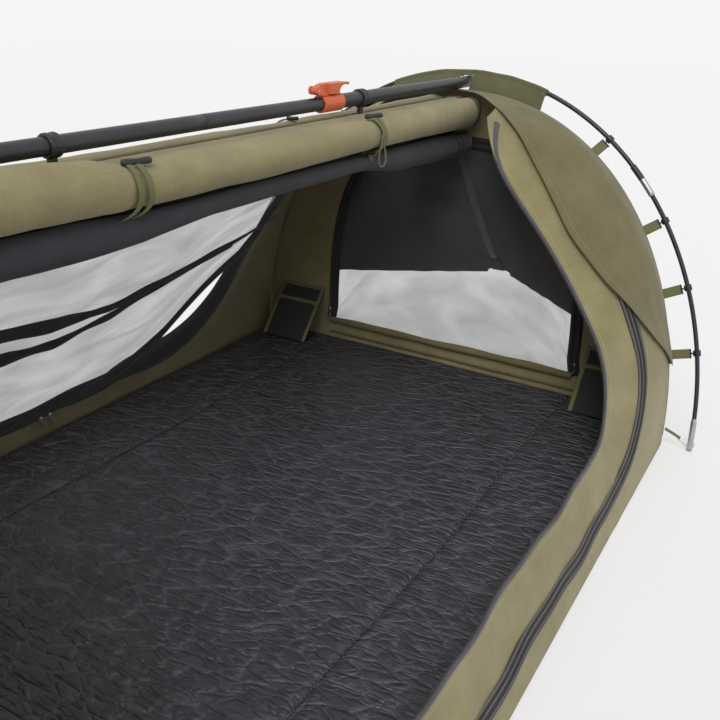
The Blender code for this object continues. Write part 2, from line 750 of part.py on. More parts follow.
def make_ties():
    """Elastic loops with a bar toggle that hold the near roll up."""
    for number, place in enumerate(TIE_PLACES, start=1):
        reach = ROLL_TIED_RADIUS + TOUCH + TIE_CORD_RADIUS
        ring = []
        for index in range(ROLL_STEPS):
            angle = 2 * math.pi * index / ROLL_STEPS
            ring.append((ROLL_OFFSET + reach * math.cos(angle), place, ROLL_HEIGHT + reach * math.sin(angle)))
        name = "near_tie_" + str(number)
        tie = solid_mesh(rod(name, ring, TIE_CORD_RADIUS, WEBBING, 1, closed=True))
        out = ROLL_TIED_RADIUS + LAYER + TOGGLE_RADIUS
        lean = Vector((math.sin(TOGGLE_ANGLE), 0, math.cos(TOGGLE_ANGLE)))
        middle = Vector((ROLL_OFFSET, place, ROLL_HEIGHT)) + lean * out
        profile = [(0, TOGGLE_HALF_LENGTH), (TOGGLE_RADIUS / 2, TOGGLE_HALF_LENGTH)]
        profile += [(TOGGLE_RADIUS, TOGGLE_HALF_LENGTH * 0.8), (TOGGLE_RADIUS, -TOGGLE_HALF_LENGTH * 0.8)]
        profile += [(TOGGLE_RADIUS / 2, -TOGGLE_HALF_LENGTH), (0, -TOGGLE_HALF_LENGTH)]
        toggle = turned("toggle", profile, PLASTIC, frame_at(middle, (0, 1, 0), (1, 0, 0)), False, 8)
        combine(tie, toggle, "UNION")


def make_far_netting(strip_bottom):
    """Far netting door, hanging from the roof strip and drawn in with soft folds above its zip."""
    depth = -(CANVAS + 2 * LAYER + TAPE + NETTING / 2)
    rows = []
    half = DOOR_HALF + MESH_OVERLAP
    inner = HALF_LENGTH - GUSSET_DEPTH
    edge = [inner + (half - inner) * index / 2 for index in range(1, 3)]
    columns = [-y for y in reversed(edge)] + [inner * (index / 5 - 1) for index in range(11)] + edge
    for step in range(11):
        share = step / 10
        row = []
        for y in columns:
            corner = max(abs(y) - (DOOR_HALF - DOOR_CORNER), 0.0)
            reach = DOOR_CORNER + MESH_OVERLAP
            sill = DOOR_SILL - MESH_OVERLAP + reach - math.sqrt(max(reach ** 2 - corner ** 2, 0.0))
            low = angle_at_height(y, sill)
            high = angle_at_width(y, MESH_TOP_OFFSET)
            angle = low + (high - low) * share
            fold = math.sin(math.pi * share) * math.cos(math.pi * y / (2 * half))
            wave = 1 + 0.5 * math.sin(5 * math.pi * y / half + 4 * share)
            row.append(skin_angle_point(FAR, y, angle, depth - MESH_FOLD * fold * wave))
        rows.append(row)
    under_roll = ROLL_HEIGHT - ROLL_RADIUS - LAYER
    path = [(ROLL_OFFSET + ROLL_RADIUS, under_roll), (ROLL_OFFSET, under_roll)]
    path += [(TAPE, under_roll + ROLL_RADIUS / 4), (0, under_roll + ROLL_RADIUS / 2)]
    path += [(0, strip_bottom - TOUCH)]
    for across, up in path:
        rows.append([Vector((-across, y, up)) for y in columns])
    sheet("far_mesh_door", rows, NETTING, NET_CLOTH, 0.0)


def clip_span(end, angle):
    """Return the angles at which the straight length of rod under a clip begins and ends."""
    half = hoop_angle_after(end, angle, CLIP_WIDTH) - angle
    return [angle - half, angle + half]


def ferrule_span(end):
    """Return the angles of the rod's points in a ferrule: the leg's two and the top section's two."""
    half = hoop_angle_after(end, FERRULE_ANGLE, FERRULE_LENGTH / 2) - FERRULE_ANGLE
    gap = hoop_angle_after(end, FERRULE_ANGLE, TOUCH) - FERRULE_ANGLE
    return [FERRULE_ANGLE - half, FERRULE_ANGLE, FERRULE_ANGLE + gap, FERRULE_ANGLE + gap + half]


def sleeve_span():
    """Return the angles of the rod's points under the cloth sleeve."""
    start = math.pi / 2 - SLEEVE_HALF_ANGLE
    return [start + 2 * SLEEVE_HALF_ANGLE * index / SLEEVE_STEPS for index in range(SLEEVE_STEPS + 1)]


def hoop_knots(end):
    """Return the angles of the rod's points from the near tip to the top.

    Clips, ferrules and sleeve share their points with the rod, so that they all bend alike."""
    tip = hoop_angle_after(end, 0.0, POLE_TIP_LENGTH)
    knots = [0.0, tip / 2, tip] + ferrule_span(end) + sleeve_span()[:SLEEVE_STEPS // 2 + 1]
    for angle in CLIP_ANGLES:
        knots += clip_span(end, angle)
    knots.sort()
    filled = [0.0]
    for low, high in zip(knots, knots[1:]):
        count = max(1, math.ceil((high - low) / HOOP_TURN))
        filled += [low + (high - low) * index / count for index in range(1, count + 1)]
    return filled


def make_hoop(label, end):
    """Hoop of three rod sections with two ferrules, a metal tip on each leg and the cloth sleeve."""
    knots = hoop_knots(end)
    tip = hoop_angle_after(end, 0.0, POLE_TIP_LENGTH)
    span = ferrule_span(end)
    foot = [angle for angle in knots if angle <= tip]
    leg = [angle for angle in knots if tip < angle < span[2] - TOUCH]
    leg_points = [hoop_point(end, angle) for angle in foot]
    leg_points.append(leg_points[-1].lerp(hoop_point(end, leg[0]), TIP_STEP_share))
    leg_points += [hoop_point(end, angle) for angle in leg]
    radii = [POLE_TIP_RADIUS] * len(foot) + [HOOP_RADIUS] * (len(leg) + 1)
    socket_points = [hoop_point(end, angle) for angle in span]
    bore_points = [point.copy() for point in socket_points]
    bore_points[0] += (bore_points[0] - bore_points[1]) * TIP_STEP_share
    bore_points[-1] += (bore_points[-1] - bore_points[-2]) * TIP_STEP_share
    for side_label, side in (("near", NEAR), ("far", FAR)):
        flip = Matrix.Diagonal((side, 1, 1))
        name = label + "_hoop_" + side_label
        rod(name + "_leg", [flip @ point for point in leg_points], HOOP_RADIUS, POLE, 2, radii)
        outside = SLEEVE_BORE + FERRULE_SKIN
        ferrule = solid_mesh(rod(name + "_ferrule", [flip @ point for point in socket_points], outside, ALLOY, 2))
        bore = solid_mesh(rod("bore", [flip @ point for point in bore_points], SLEEVE_BORE, ALLOY, 2))
        combine(ferrule, bore, "DIFFERENCE")
    near = [angle for angle in knots if angle > span[1] + TOUCH]
    over = near + [math.pi - angle for angle in reversed(near[:-1])]
    rod(label + "_hoop_top", [hoop_point(end, angle) for angle in over], HOOP_RADIUS, POLE, 2)
    make_sleeve(label, end)


def drop_to_arch(middle, out):
    """Return how far the arch of the end wall lies below a point of the hoop, against the direction out."""
    near = 0.0
    far = 2 * (HOOP_APEX - ARCH_HEIGHT)
    while far - near > TOUCH / 100:
        drop = (near + far) / 2
        place = middle - out * drop
        beyond = (abs(place.x) / HALF_WIDTH) ** ARCH_POWER_share + (place.z / ARCH_HEIGHT) ** ARCH_POWER_share > 1
        near, far = (drop, far) if beyond else (near, drop)
    return near


def make_sleeve(label, end):
    """Cloth sleeve over the hoop's top: a horseshoe round the rod with a skirt down to the arch seam.

    The skirt is cut away over the ridge tube's end, between two pairs of rings beside the middle one."""
    knots = sleeve_span()
    stations = [(hoop_point(end, angle), hoop_direction(end, angle), 1.0) for angle in knots]
    centre = len(stations) // 2
    top, top_way = stations[centre][:2]
    over_tube = []
    for neighbour in (stations[centre - 1], stations[centre + 1]):
        reach = abs(neighbour[0].x - top.x)
        for across, skirt in ((NOTCH_HALF, NOTCH_SKIRT_share), (NOTCH_HALF + SLEEVE_SKIN, 1.0)):
            share = across / reach
            over_tube.append((top.lerp(neighbour[0], share), top_way.lerp(neighbour[1], share), skirt))
    stations[centre] = (top, top_way, NOTCH_SKIRT_share)
    stations += over_tube
    stations.sort(key=lambda station: -station[0].x)
    rings = []
    for middle, along, skirt in stations:
        back = Vector((0, end, 0))
        out = back.cross(along).normalized() * end
        outer = SLEEVE_BORE + SLEEVE_SKIN
        turns = [math.radians(-60 + 30 * step) for step in range(9)]
        over = [middle + (out * math.sin(turn) + back * math.cos(turn)) * outer for turn in turns[1:]]
        under = [middle + (out * math.sin(turn) + back * math.cos(turn)) * SLEEVE_BORE for turn in turns[1:]]
        seam = middle - out * (drop_to_arch(middle, out) + PIPING_RADIUS)
        seam.y = end * (HALF_LENGTH + 2 * PIPING_RADIUS + 2 * TOUCH)
        outside = seam + Vector((0, end * SLEEVE_SKIN, 0))
        seam = over[-1].lerp(seam, skirt)
        outside = under[-1].lerp(outside, skirt)
        lip = over[0] - out * SLEEVE_LIP * skirt
        inner_lip = under[0] - out * SLEEVE_LIP * skirt
        rings.append([lip] + over + [seam, outside] + under[::-1] + [inner_lip])
    solid_mesh(loft(label + "_sleeve", rings, CANVAS_CLOTH, len(rings[0]) // 2))


def make_piping(name, end):
    """Corded seam round the end arch."""
    inset = PIPING_RADIUS
    outline = arch_outline(HALF_WIDTH - inset, 0.0, ARCH_HEIGHT - inset, ARCH_POWER_share, 24, PIPING_FOOT_HEIGHT)
    y = end * (HALF_LENGTH + TOUCH + PIPING_RADIUS)
    return solid_mesh(rod(name, [(across, y, up) for across, up in outline], PIPING_RADIUS, CANVAS_CLOTH, 1))


def make_hoop_clip(name, side, end, angle, held):
    """Snap clip on the hoop with its webbing tab, which runs into the piping or stops just short of it."""
    low, high = (Matrix.Diagonal((side, 1, 1)) @ hoop_point(end, turn) for turn in clip_span(end, angle))
    middle = (low + high) / 2
    power = ARCH_POWER_share
    reach = (abs(middle.x) / HALF_WIDTH) ** power + (middle.z / ARCH_HEIGHT) ** power
    seam = middle * (reach ** (-1 / power) - PIPING_RADIUS / HALF_WIDTH)
    seam.y = end * (HALF_LENGTH + TOUCH + PIPING_RADIUS)
    frame = frame_at(middle, high - low, seam - middle)
    inner = SLEEVE_BORE
    outer = inner + CLIP_WALL
    half = CLIP_WIDTH / 2
    profile = [(outer, half), (outer, -half), (inner, -half), (inner, half)]
    clip = turned(name, profile, PLASTIC, frame, True, 8)
    root = (seam - middle).length
    if not held:
        root -= PIPING_RADIUS + 2 * LAYER
    bar_start = (inner + outer) / 2
    bar_matrix = frame @ Matrix.Translation((bar_start + CLIP_BAR_LENGTH / 2, 0, 0))
    bar = block("bar", (CLIP_BAR_LENGTH, CLIP_BAR_THICKNESS, TAB_WIDTH + 2 * CLIP_WALL), bar_matrix, PLASTIC)
    combine(clip, bar, "UNION")
    tab_start = bar_start + CLIP_BAR_LENGTH / 2
    tab_matrix = frame @ Matrix.Translation(((tab_start + root) / 2, 0, 0))
    tab = block("tab", (root - tab_start, TAB_THICKNESS, TAB_WIDTH), tab_matrix, WEBBING)
    combine(clip, tab, "UNION")
    return clip


def make_hoop_clips():
    """Four clips on each leg of each hoop.

    The near head ones are nodes of their own, the others stay on the piping that carries them."""
    head = make_piping("head_piping", HEAD)
    foot = make_piping("foot_piping", FOOT)
    for number, angle in enumerate(CLIP_ANGLES, start=1):
        make_hoop_clip("near_head_clip_" + str(number), NEAR, HEAD, angle, False)
        combine(head, make_hoop_clip("clip", FAR, HEAD, angle, True), "UNION")
        combine(foot, make_hoop_clip("clip", NEAR, FOOT, angle, True), "UNION")
        combine(foot, make_hoop_clip("clip", FAR, FOOT, angle, True), "UNION")


def make_corner_link(name, side, end):
    """Webbing and wire loop from a corner of the base to the hoop's tip."""
    tip = hoop_point(end, 0.0 if side == NEAR else math.pi)
    root_y = end * (HALF_LENGTH - LINK_WIDTH / 4)
    root = Vector((side * (HALF_WIDTH + 2 * LINK_THICKNESS), root_y, LINK_HEIGHT))
    grip = Vector((tip.x, tip.y, LINK_GRIP_HEIGHT))
    frame = frame_at(root, grip - root, (0, 1, 0))
    strap_matrix = frame @ Matrix.Translation((0, 0, LINK_STRAP_LENGTH / 2))
    strap = block(name, (LINK_WIDTH, LINK_THICKNESS, LINK_STRAP_LENGTH), strap_matrix, WEBBING)
    gap = POLE_TIP_RADIUS * LINK_SLACK_share + TOUCH + WIRE_RADIUS
    reach = (grip - root).length
    loop = []
    for index in range(7):
        angle = math.pi * (index / 6 - 0.5)
        loop.append(frame @ Vector((gap * math.sin(angle), 0, reach + gap * math.cos(angle))))
    start = LINK_STRAP_LENGTH - 2 * WIRE_RADIUS
    loop += [frame @ Vector((gap / 2, 0, start)), frame @ Vector((-gap / 2, 0, start))]
    wire = solid_mesh(rod("wire", loop, WIRE_RADIUS, ALLOY, 1, closed=True))
    combine(strap, wire, "UNION")


def make_tube(name, radius, start, end):
    """Open tube of the ridge pole between two lengths, its origin on the pole's axis."""
    half = (end - start) / 2
    bore = radius - TUBE_WALL
    profile = [(radius, half), (radius, -half), (bore, -half), (bore, half)]
    middle = (0, (start + end) / 2, RIDGE_HEIGHT)
    return turned(name, profile, POLE, frame_at(middle, (0, 1, 0), (1, 0, 0)), True)


def make_cap(name, radius, place, end):
    """Push-in plug with a rounded head for one end of the ridge pole."""
    plug = radius - TUBE_WALL - TOUCH
    profile = [(0, CAP_LENGTH), (radius * 0.7, CAP_LENGTH), (radius, CAP_LENGTH * 0.5), (radius, TOUCH)]
    profile += [(plug, TOUCH), (plug, -CAP_PLUG), (0, -CAP_PLUG)]
    turned(name, profile, PLASTIC, frame_at((0, place, RIDGE_HEIGHT), (0, end, 0), (1, 0, 0)), False)


def make_ridge_pole():
    """Telescopic ridge pole: the thinner foot half slides into the thicker head half."""
    make_tube("ridge_outer_tube", OUTER_TUBE_RADIUS, OUTER_TUBE_START, RIDGE_END)
    make_tube("ridge_inner_tube", INNER_TUBE_RADIUS, -RIDGE_END, INNER_TUBE_END)
    make_cap("ridge_head_cap", OUTER_TUBE_RADIUS, RIDGE_END, HEAD)
    make_cap("ridge_foot_cap", INNER_TUBE_RADIUS, -RIDGE_END, FOOT)


def make_ridge_clip(name, place, tube_radius, strip_top):
    """Ribbed ring round the ridge pole on a necked foot that is sewn to the roof strip."""
    inner = tube_radius + TOUCH
    outer = inner + RIDGE_CLIP_WALL
    half = RIDGE_CLIP_WIDTH / 2
    rib = outer + RIDGE_CLIP_RIB
    profile = [(outer, half), (rib, half * 0.8), (rib, half * 0.4), (outer, half * 0.2), (outer, -half * 0.2)]
    profile += [(rib, -half * 0.4), (rib, -half * 0.8), (outer, -half), (inner, -half), (inner, half)]
    middle = (0, place, RIDGE_HEIGHT)
    clip = turned(name, profile, PLASTIC, frame_at(middle, (0, 1, 0), (1, 0, 0)), True, 16)
    base_bottom = strip_top + TOUCH
    neck_top = RIDGE_HEIGHT - (inner + outer) / 2
    neck_height = neck_top - base_bottom
    neck_matrix = Matrix.Translation((0, place, base_bottom + neck_height / 2))
    neck = block("neck", (RIDGE_CLIP_NECK, RIDGE_CLIP_NECK * 1.4, neck_height), neck_matrix, PLASTIC)
    combine(clip, neck, "UNION")
    base_matrix = Matrix.Translation((0, place, base_bottom + RIDGE_CLIP_BASE_HEIGHT / 2))
    base_size = (RIDGE_CLIP_BASE_WIDTH, RIDGE_CLIP_BASE_LENGTH, RIDGE_CLIP_BASE_HEIGHT)
    base = block("base", base_size, base_matrix, PLASTIC)
    combine(clip, base, "UNION")


def lever_outline():
    """Side outline of the lever about its pivot: (length, height) from the knuckle to the finger tab."""
    top = LEVER_TOP_RISE - LOCK_PIVOT_RISE
    floor = OUTER_TUBE_RADIUS + 2 * TOUCH + LOCK_WALL - LOCK_PIVOT_RISE
    points = []
    for index in range(8):
        angle = math.radians(90 + 22.5 * index)
        points.append((LEVER_KNUCKLE_RADIUS * math.cos(angle), LEVER_KNUCKLE_RADIUS * math.sin(angle)))
    body_end = LEVER_LENGTH * 0.66
    points += [(LOCK_PIVOT_REACH, floor), (body_end, floor)]
    hollow = top - LEVER_TAB_THICKNESS - floor
    for index in range(1, 6):
        angle = math.radians(18 * index)
        points.append((body_end + LEVER_LENGTH * 0.18 * (1 - math.cos(angle)), floor + hollow * math.sin(angle)))
    points += [(LEVER_LENGTH, top - LEVER_TAB_THICKNESS * 1.3), (LEVER_LENGTH * 1.01, top - LEVER_TAB_THICKNESS / 2)]
    points += [(LEVER_LENGTH * 0.97, top), (LEVER_LENGTH * 0.5, top), (LOCK_PIVOT_REACH, top)]
    return points


def make_lock():
    """Flip lock: collar with two ears on the outer tube's mouth, cam lever between them, and its pin."""
    start = OUTER_TUBE_START - LOCK_LIP * 3
    inner = OUTER_TUBE_RADIUS + TOUCH
    mouth = INNER_TUBE_RADIUS + TOUCH
    outer = inner + LOCK_WALL
    half = LOCK_LENGTH / 2
    lip = OUTER_TUBE_START - TOUCH - start
    profile = [(outer - LOCK_LIP, half), (outer, half - LOCK_LIP), (outer, -half + LOCK_LIP), (outer - LOCK_LIP, -half)]
    profile += [(mouth, -half), (mouth, -half + lip), (inner, -half + lip), (inner, half)]
    middle = (0, start + half, RIDGE_HEIGHT)
    collar = turned("lock_collar", profile, LOCK_ORANGE, frame_at(middle, (0, 1, 0), (1, 0, 0)), True, 20)
    pivot = Vector((0, start - LOCK_PIVOT_REACH, RIDGE_HEIGHT + LOCK_PIVOT_RISE))
    foot = (inner + outer) / 2 - LOCK_PIVOT_RISE
    ear_start = LOCK_PIVOT_REACH + 2 * LOCK_LIP
    ear_end = ear_start + LOCK_EAR_FOOT
    ear = [(ear_start, foot), (ear_end, foot)]
    for index in range(11):
        angle = math.radians(45 + 22.5 * index)
        ear.append((LOCK_EAR_RADIUS * math.cos(angle), LOCK_EAR_RADIUS * math.sin(angle)))
    hole_radius = LOCK_PIN_RADIUS + LOCK_PIN_CLEARANCE
    hole_steps = [2 * math.pi * index / ROUND_STEPS for index in range(ROUND_STEPS)]
    hole = [(hole_radius * math.cos(turn), hole_radius * math.sin(turn)) for turn in hole_steps]
    for side in (NEAR, FAR):
        offset = Vector((side * (LOCK_EAR_GAP + LOCK_EAR_THICKNESS) / 2, 0, 0))
        cheek = plate("ear", [ear, hole], LOCK_EAR_THICKNESS, pivot + offset, SIDE_VIEW, LOCK_ORANGE)
        combine(collar, solid_mesh(cheek), "UNION")
    lever = plate("lock_lever", [lever_outline(), hole], LEVER_WIDTH, pivot, SIDE_VIEW, LOCK_ORANGE)
    lever = solid_mesh(lever)
    clear = LOCK_EAR_RADIUS + LOCK_LIP
    inside = LOCK_EAR_GAP / 2 - TOUCH
    width = LEVER_WIDTH / 2 - inside + OVERRUN
    length = ear_end + LOCK_LIP + clear
    size = (width, length, 2 * clear + OVERRUN)
    for side in (NEAR, FAR):
        place = pivot + Vector((side * (inside + width / 2), length / 2 - clear, 0))
        combine(lever, block("recess", size, Matrix.Translation(place), LOCK_ORANGE), "DIFFERENCE")
    pin_half = LOCK_EAR_GAP / 2 + LOCK_EAR_THICKNESS
    pin_profile = [(0, pin_half), (LOCK_PIN_RADIUS, pin_half), (LOCK_PIN_RADIUS, -pin_half), (0, -pin_half)]
    turned("lock_pin", pin_profile, ALLOY, frame_at(pivot, (1, 0, 0), (0, 0, 1)), False)


def make_sliders():
    """Two zip sliders parked side by side on the far sill, each with a hanging puller."""
    height = DOOR_SILL - SLIDER_DROP
    depth = -(CANVAS + LAYER + TAPE + TOUCH)
    for number, y in enumerate(SLIDER_PLACES, start=1):
        on_tape = skin_point(FAR, y, height, depth)
        inward = (skin_point(FAR, y, height, depth - LAYER) - on_tape).normalized()
        frame = frame_at(on_tape + inward * SLIDER_DEPTH / 2, (0, 1, 0), inward)
        body = block("mesh_slider_" + str(number), (SLIDER_DEPTH, SLIDER_HEIGHT, SLIDER_LENGTH), frame, ALLOY)
        eye_middle = SLIDER_DEPTH / 2 + SLIDER_EYE
        eye_frame = frame @ Matrix.Translation((eye_middle, 0, 0))
        eye_half = SLIDER_LENGTH / 4
        eye_profile = [(2 * SLIDER_EYE, eye_half), (2 * SLIDER_EYE, -eye_half)]
        eye_profile += [(SLIDER_EYE, -eye_half), (SLIDER_EYE, eye_half)]
        combine(body, turned("eye", eye_profile, ALLOY, eye_frame, True, 12), "UNION")
        pivot = eye_frame.translation
        wire = PULLER_EYE
        puller_frame = Matrix.Translation(pivot)
        side = eye_half + TOUCH + wire
        frame_points = [(0, -side, 0), (0, side, 0), (0, side, -4 * SLIDER_EYE), (0, -side, -4 * SLIDER_EYE)]
        bail = [puller_frame @ Vector(point) for point in frame_points]
        puller = solid_mesh(rod("mesh_puller_" + str(number), bail, wire, PLASTIC, 1, closed=True))
        tab_matrix = Matrix.Translation(pivot + Vector((0, 0, -4 * SLIDER_EYE - PULLER_LENGTH / 2)))
        tab = block("tab", (PULLER_THICKNESS, PULLER_WIDTH, PULLER_LENGTH), tab_matrix, PLASTIC)
        combine(puller, tab, "UNION")


def make_pocket(name, side):
    """Corner pocket: a leaning panel from the head wall to the mattress, with raised bindings."""
    top = Vector((0, WALL_END - POCKET_BINDING / 2, POCKET_TOP))
    bottom = Vector((0, WALL_END - POCKET_REACH, MATTRESS_TOP + MATTRESS_CROWN))
    run = bottom - top
    width = POCKET_OUTER - POCKET_INNER
    middle = Vector((side * (POCKET_INNER + POCKET_OUTER) / 2, 0, 0)) + top + run / 2
    frame = frame_at(middle, run, (1, 0, 0))
    panel = block(name, (width, POCKET_SKIN, run.length), frame, PLASTIC)
    for edge in (-1, 1):
        shift = Matrix.Translation((edge * (width - POCKET_BINDING_WIDTH) / 2, 0, 0))
        size = (POCKET_BINDING_WIDTH, POCKET_BINDING, run.length)
        combine(panel, block("binding", size, frame @ shift, WEBBING), "UNION")
    share = (POCKET_TOP - POCKET_WELT) / (POCKET_TOP - MATTRESS_TOP)
    shift = Matrix.Translation((0, 0, run.length * (share - 0.5)))
    size = (width, POCKET_BINDING + NETTING, POCKET_BINDING_WIDTH * 0.8)
    combine(panel, block("welt", size, frame @ shift, WEBBING), "UNION")


for stale in list(bpy.data.objects):
    bpy.data.objects.remove(stale)

PARTS = make_collection("swag_bedroll")
CUTTERS = make_collection("cutters")

CANVAS_CLOTH = make_material("canvas", (0.27, 0.24, 0.14), 0.9)
PVC = make_material("pvc", (0.10, 0.10, 0.11), 0.6)
FOAM = make_material("foam", (0.55, 0.55, 0.50), 0.95)
COVER_CLOTH = make_material("cover", (0.04, 0.04, 0.045), 0.75)
NET_CLOTH = make_material("netting", (0.05, 0.05, 0.06), 0.9)
ZIP_CLOTH = make_material("zip_tape", (0.02, 0.02, 0.025), 0.7)
WEBBING = make_material("webbing", (0.13, 0.14, 0.06), 0.9)
PLASTIC = make_material("black_plastic", (0.02, 0.02, 0.02), 0.45)
POLE = make_material("pole", (0.03, 0.03, 0.032), 0.45, 0.3)
ALLOY = make_material("alloy", (0.60, 0.60, 0.62), 0.35, 1.0)
LOCK_ORANGE = make_material("orange_plastic", (0.75, 0.20, 0.06), 0.4)

make_base()
make_side_wall("near_side_wall", NEAR)
make_side_wall("far_side_wall", FAR)
make_side_zips()
make_end_wall("head_wall", HEAD, [window_outline(0.0)])
make_end_wall("foot_wall", FOOT, [])
make_window()
make_awning()
make_hood("head_storm_hood", HEAD)
make_hood("foot_storm_hood", FOOT)
STRIP_BOTTOM = make_roof_strip()
make_rolls()
make_ties()
make_far_netting(STRIP_BOTTOM)
make_hoop("head", HEAD)
make_hoop("foot", FOOT)
make_hoop_clips()
for link_end, end_label in ((HEAD, "head"), (FOOT, "foot")):
    for link_side, side_label in ((NEAR, "near"), (FAR, "far")):
        make_corner_link(side_label + "_" + end_label + "_corner_link", link_side, link_end)
make_ridge_pole()
for clip_number, clip_place in enumerate(RIDGE_CLIP_PLACES, start=1):
    clip_tube = INNER_TUBE_RADIUS if clip_place < OUTER_TUBE_START else OUTER_TUBE_RADIUS
    make_ridge_clip("ridge_clip_" + str(clip_number), clip_place, clip_tube, STRIP_BOTTOM + ROOF_STRIP_SKIN)
make_lock()
make_sliders()
make_pocket("near_pocket", NEAR)
make_pocket("far_pocket", FAR)
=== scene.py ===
# %% [markdown]
# # A double dome swag
# A swag is a canvas bed shelter that rolls up round its own mattress. This one stands on two
# arched hoops with a ridge pole between them, and its near door is rolled up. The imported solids
# give the places of all pieces, and this lesson dresses them: cloth, netting, zips and poles.

# %% Load the frame
import math

import bpy
import numpy as np
from mathutils import Matrix, Vector


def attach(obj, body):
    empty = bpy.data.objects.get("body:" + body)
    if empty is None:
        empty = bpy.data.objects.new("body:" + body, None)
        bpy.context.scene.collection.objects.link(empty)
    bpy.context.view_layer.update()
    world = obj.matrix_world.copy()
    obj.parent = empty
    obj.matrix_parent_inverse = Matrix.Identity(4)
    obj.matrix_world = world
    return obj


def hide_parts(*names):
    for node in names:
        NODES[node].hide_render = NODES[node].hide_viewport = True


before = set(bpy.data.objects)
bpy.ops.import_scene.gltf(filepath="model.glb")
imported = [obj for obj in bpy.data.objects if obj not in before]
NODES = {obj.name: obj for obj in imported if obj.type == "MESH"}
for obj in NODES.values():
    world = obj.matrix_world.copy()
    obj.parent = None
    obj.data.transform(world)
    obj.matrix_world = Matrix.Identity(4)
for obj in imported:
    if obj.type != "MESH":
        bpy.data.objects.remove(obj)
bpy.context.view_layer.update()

# %% [markdown]
# ## Camera
# The photograph looks down into the bed from above the foot end of the open side. The lens and
# the place were worked out from the mattress edges, the hoop and the ridge pole.

# %% Camera
CAMERA_PLACE = (0.99453, -1.11414, 1.13241)
cam_data = bpy.data.cameras.new("camera")
cam_data.lens = 40.463
cam_data.sensor_width = 36.0
cam_data.clip_start = 0.05
camera = bpy.data.objects.new("camera", cam_data)
right = np.array([0.853738, 0.520386, 0.018135])
up = np.array([-0.223195, 0.334255, 0.915672])
back = np.cross(right, up)
turn = Matrix([right, up, back]).transposed().to_4x4()
camera.matrix_world = Matrix.Translation(CAMERA_PLACE) @ turn
bpy.context.scene.collection.objects.link(camera)
bpy.context.scene.camera = camera
print("camera at", CAMERA_PLACE)

# %% [markdown]
# ## Light and world
# A studio for product pictures is one big soft light. A pale world does most of that work, and
# one soft sun over the camera's left shoulder gives the cloth its form. Camera, glossy and
# transmission rays see a paler world than the one that lights, so the backdrop stays pale.

# %% World
WORLD_LIGHT, BACKDROP = 0.62, 0.92
world = bpy.data.worlds.new("studio")
bpy.context.scene.world = world
world.use_nodes = True
nodes, links = world.node_tree.nodes, world.node_tree.links
nodes.clear()
out = nodes.new("ShaderNodeOutputWorld")
lit = nodes.new("ShaderNodeBackground")
lit.inputs["Color"].default_value = (1.0, 1.0, 1.0, 1.0)
lit.inputs["Strength"].default_value = WORLD_LIGHT
seen = nodes.new("ShaderNodeBackground")
seen.inputs["Color"].default_value = (BACKDROP, BACKDROP, BACKDROP, 1.0)
seen.inputs["Strength"].default_value = 1.0
rays = nodes.new("ShaderNodeLightPath")
most = nodes.new("ShaderNodeMath")
most.operation = "MAXIMUM"
either = nodes.new("ShaderNodeMath")
either.operation = "MAXIMUM"
mix = nodes.new("ShaderNodeMixShader")
links.new(rays.outputs["Is Glossy Ray"], most.inputs[0])
links.new(rays.outputs["Is Transmission Ray"], most.inputs[1])
links.new(most.outputs[0], either.inputs[0])
links.new(rays.outputs["Is Camera Ray"], either.inputs[1])
links.new(either.outputs[0], mix.inputs[0])
links.new(lit.outputs[0], mix.inputs[1])
links.new(seen.outputs[0], mix.inputs[2])
links.new(mix.outputs[0], out.inputs[0])
bpy.context.scene.view_settings.view_transform = "Standard"


# %% Lamp
def soft_sun(name, source, strength, spread):
    """A sun lamp that shines from a direction; a wide angle makes its shadows soft."""
    data = bpy.data.lights.new(name, "SUN")
    data.energy = strength
    data.angle = math.radians(spread)
    lamp = bpy.data.objects.new(name, data)
    lamp.rotation_euler = Vector(source).to_track_quat("Z", "Y").to_euler()
    bpy.context.scene.collection.objects.link(lamp)
    return lamp


soft_sun("key", source=(1.0, -2.6, 2.7), strength=1.55, spread=30)
print("world and sun ready")


# %% [markdown]
# ## Surfaces from grids
# Nearly every piece here is a surface with two directions: along and across. Each is worked out
# as an array of points, rows by columns, and `surface` turns it into a mesh. It also writes a UV
# map in metres, measured along the surface, so that weave and stitches keep their real size.

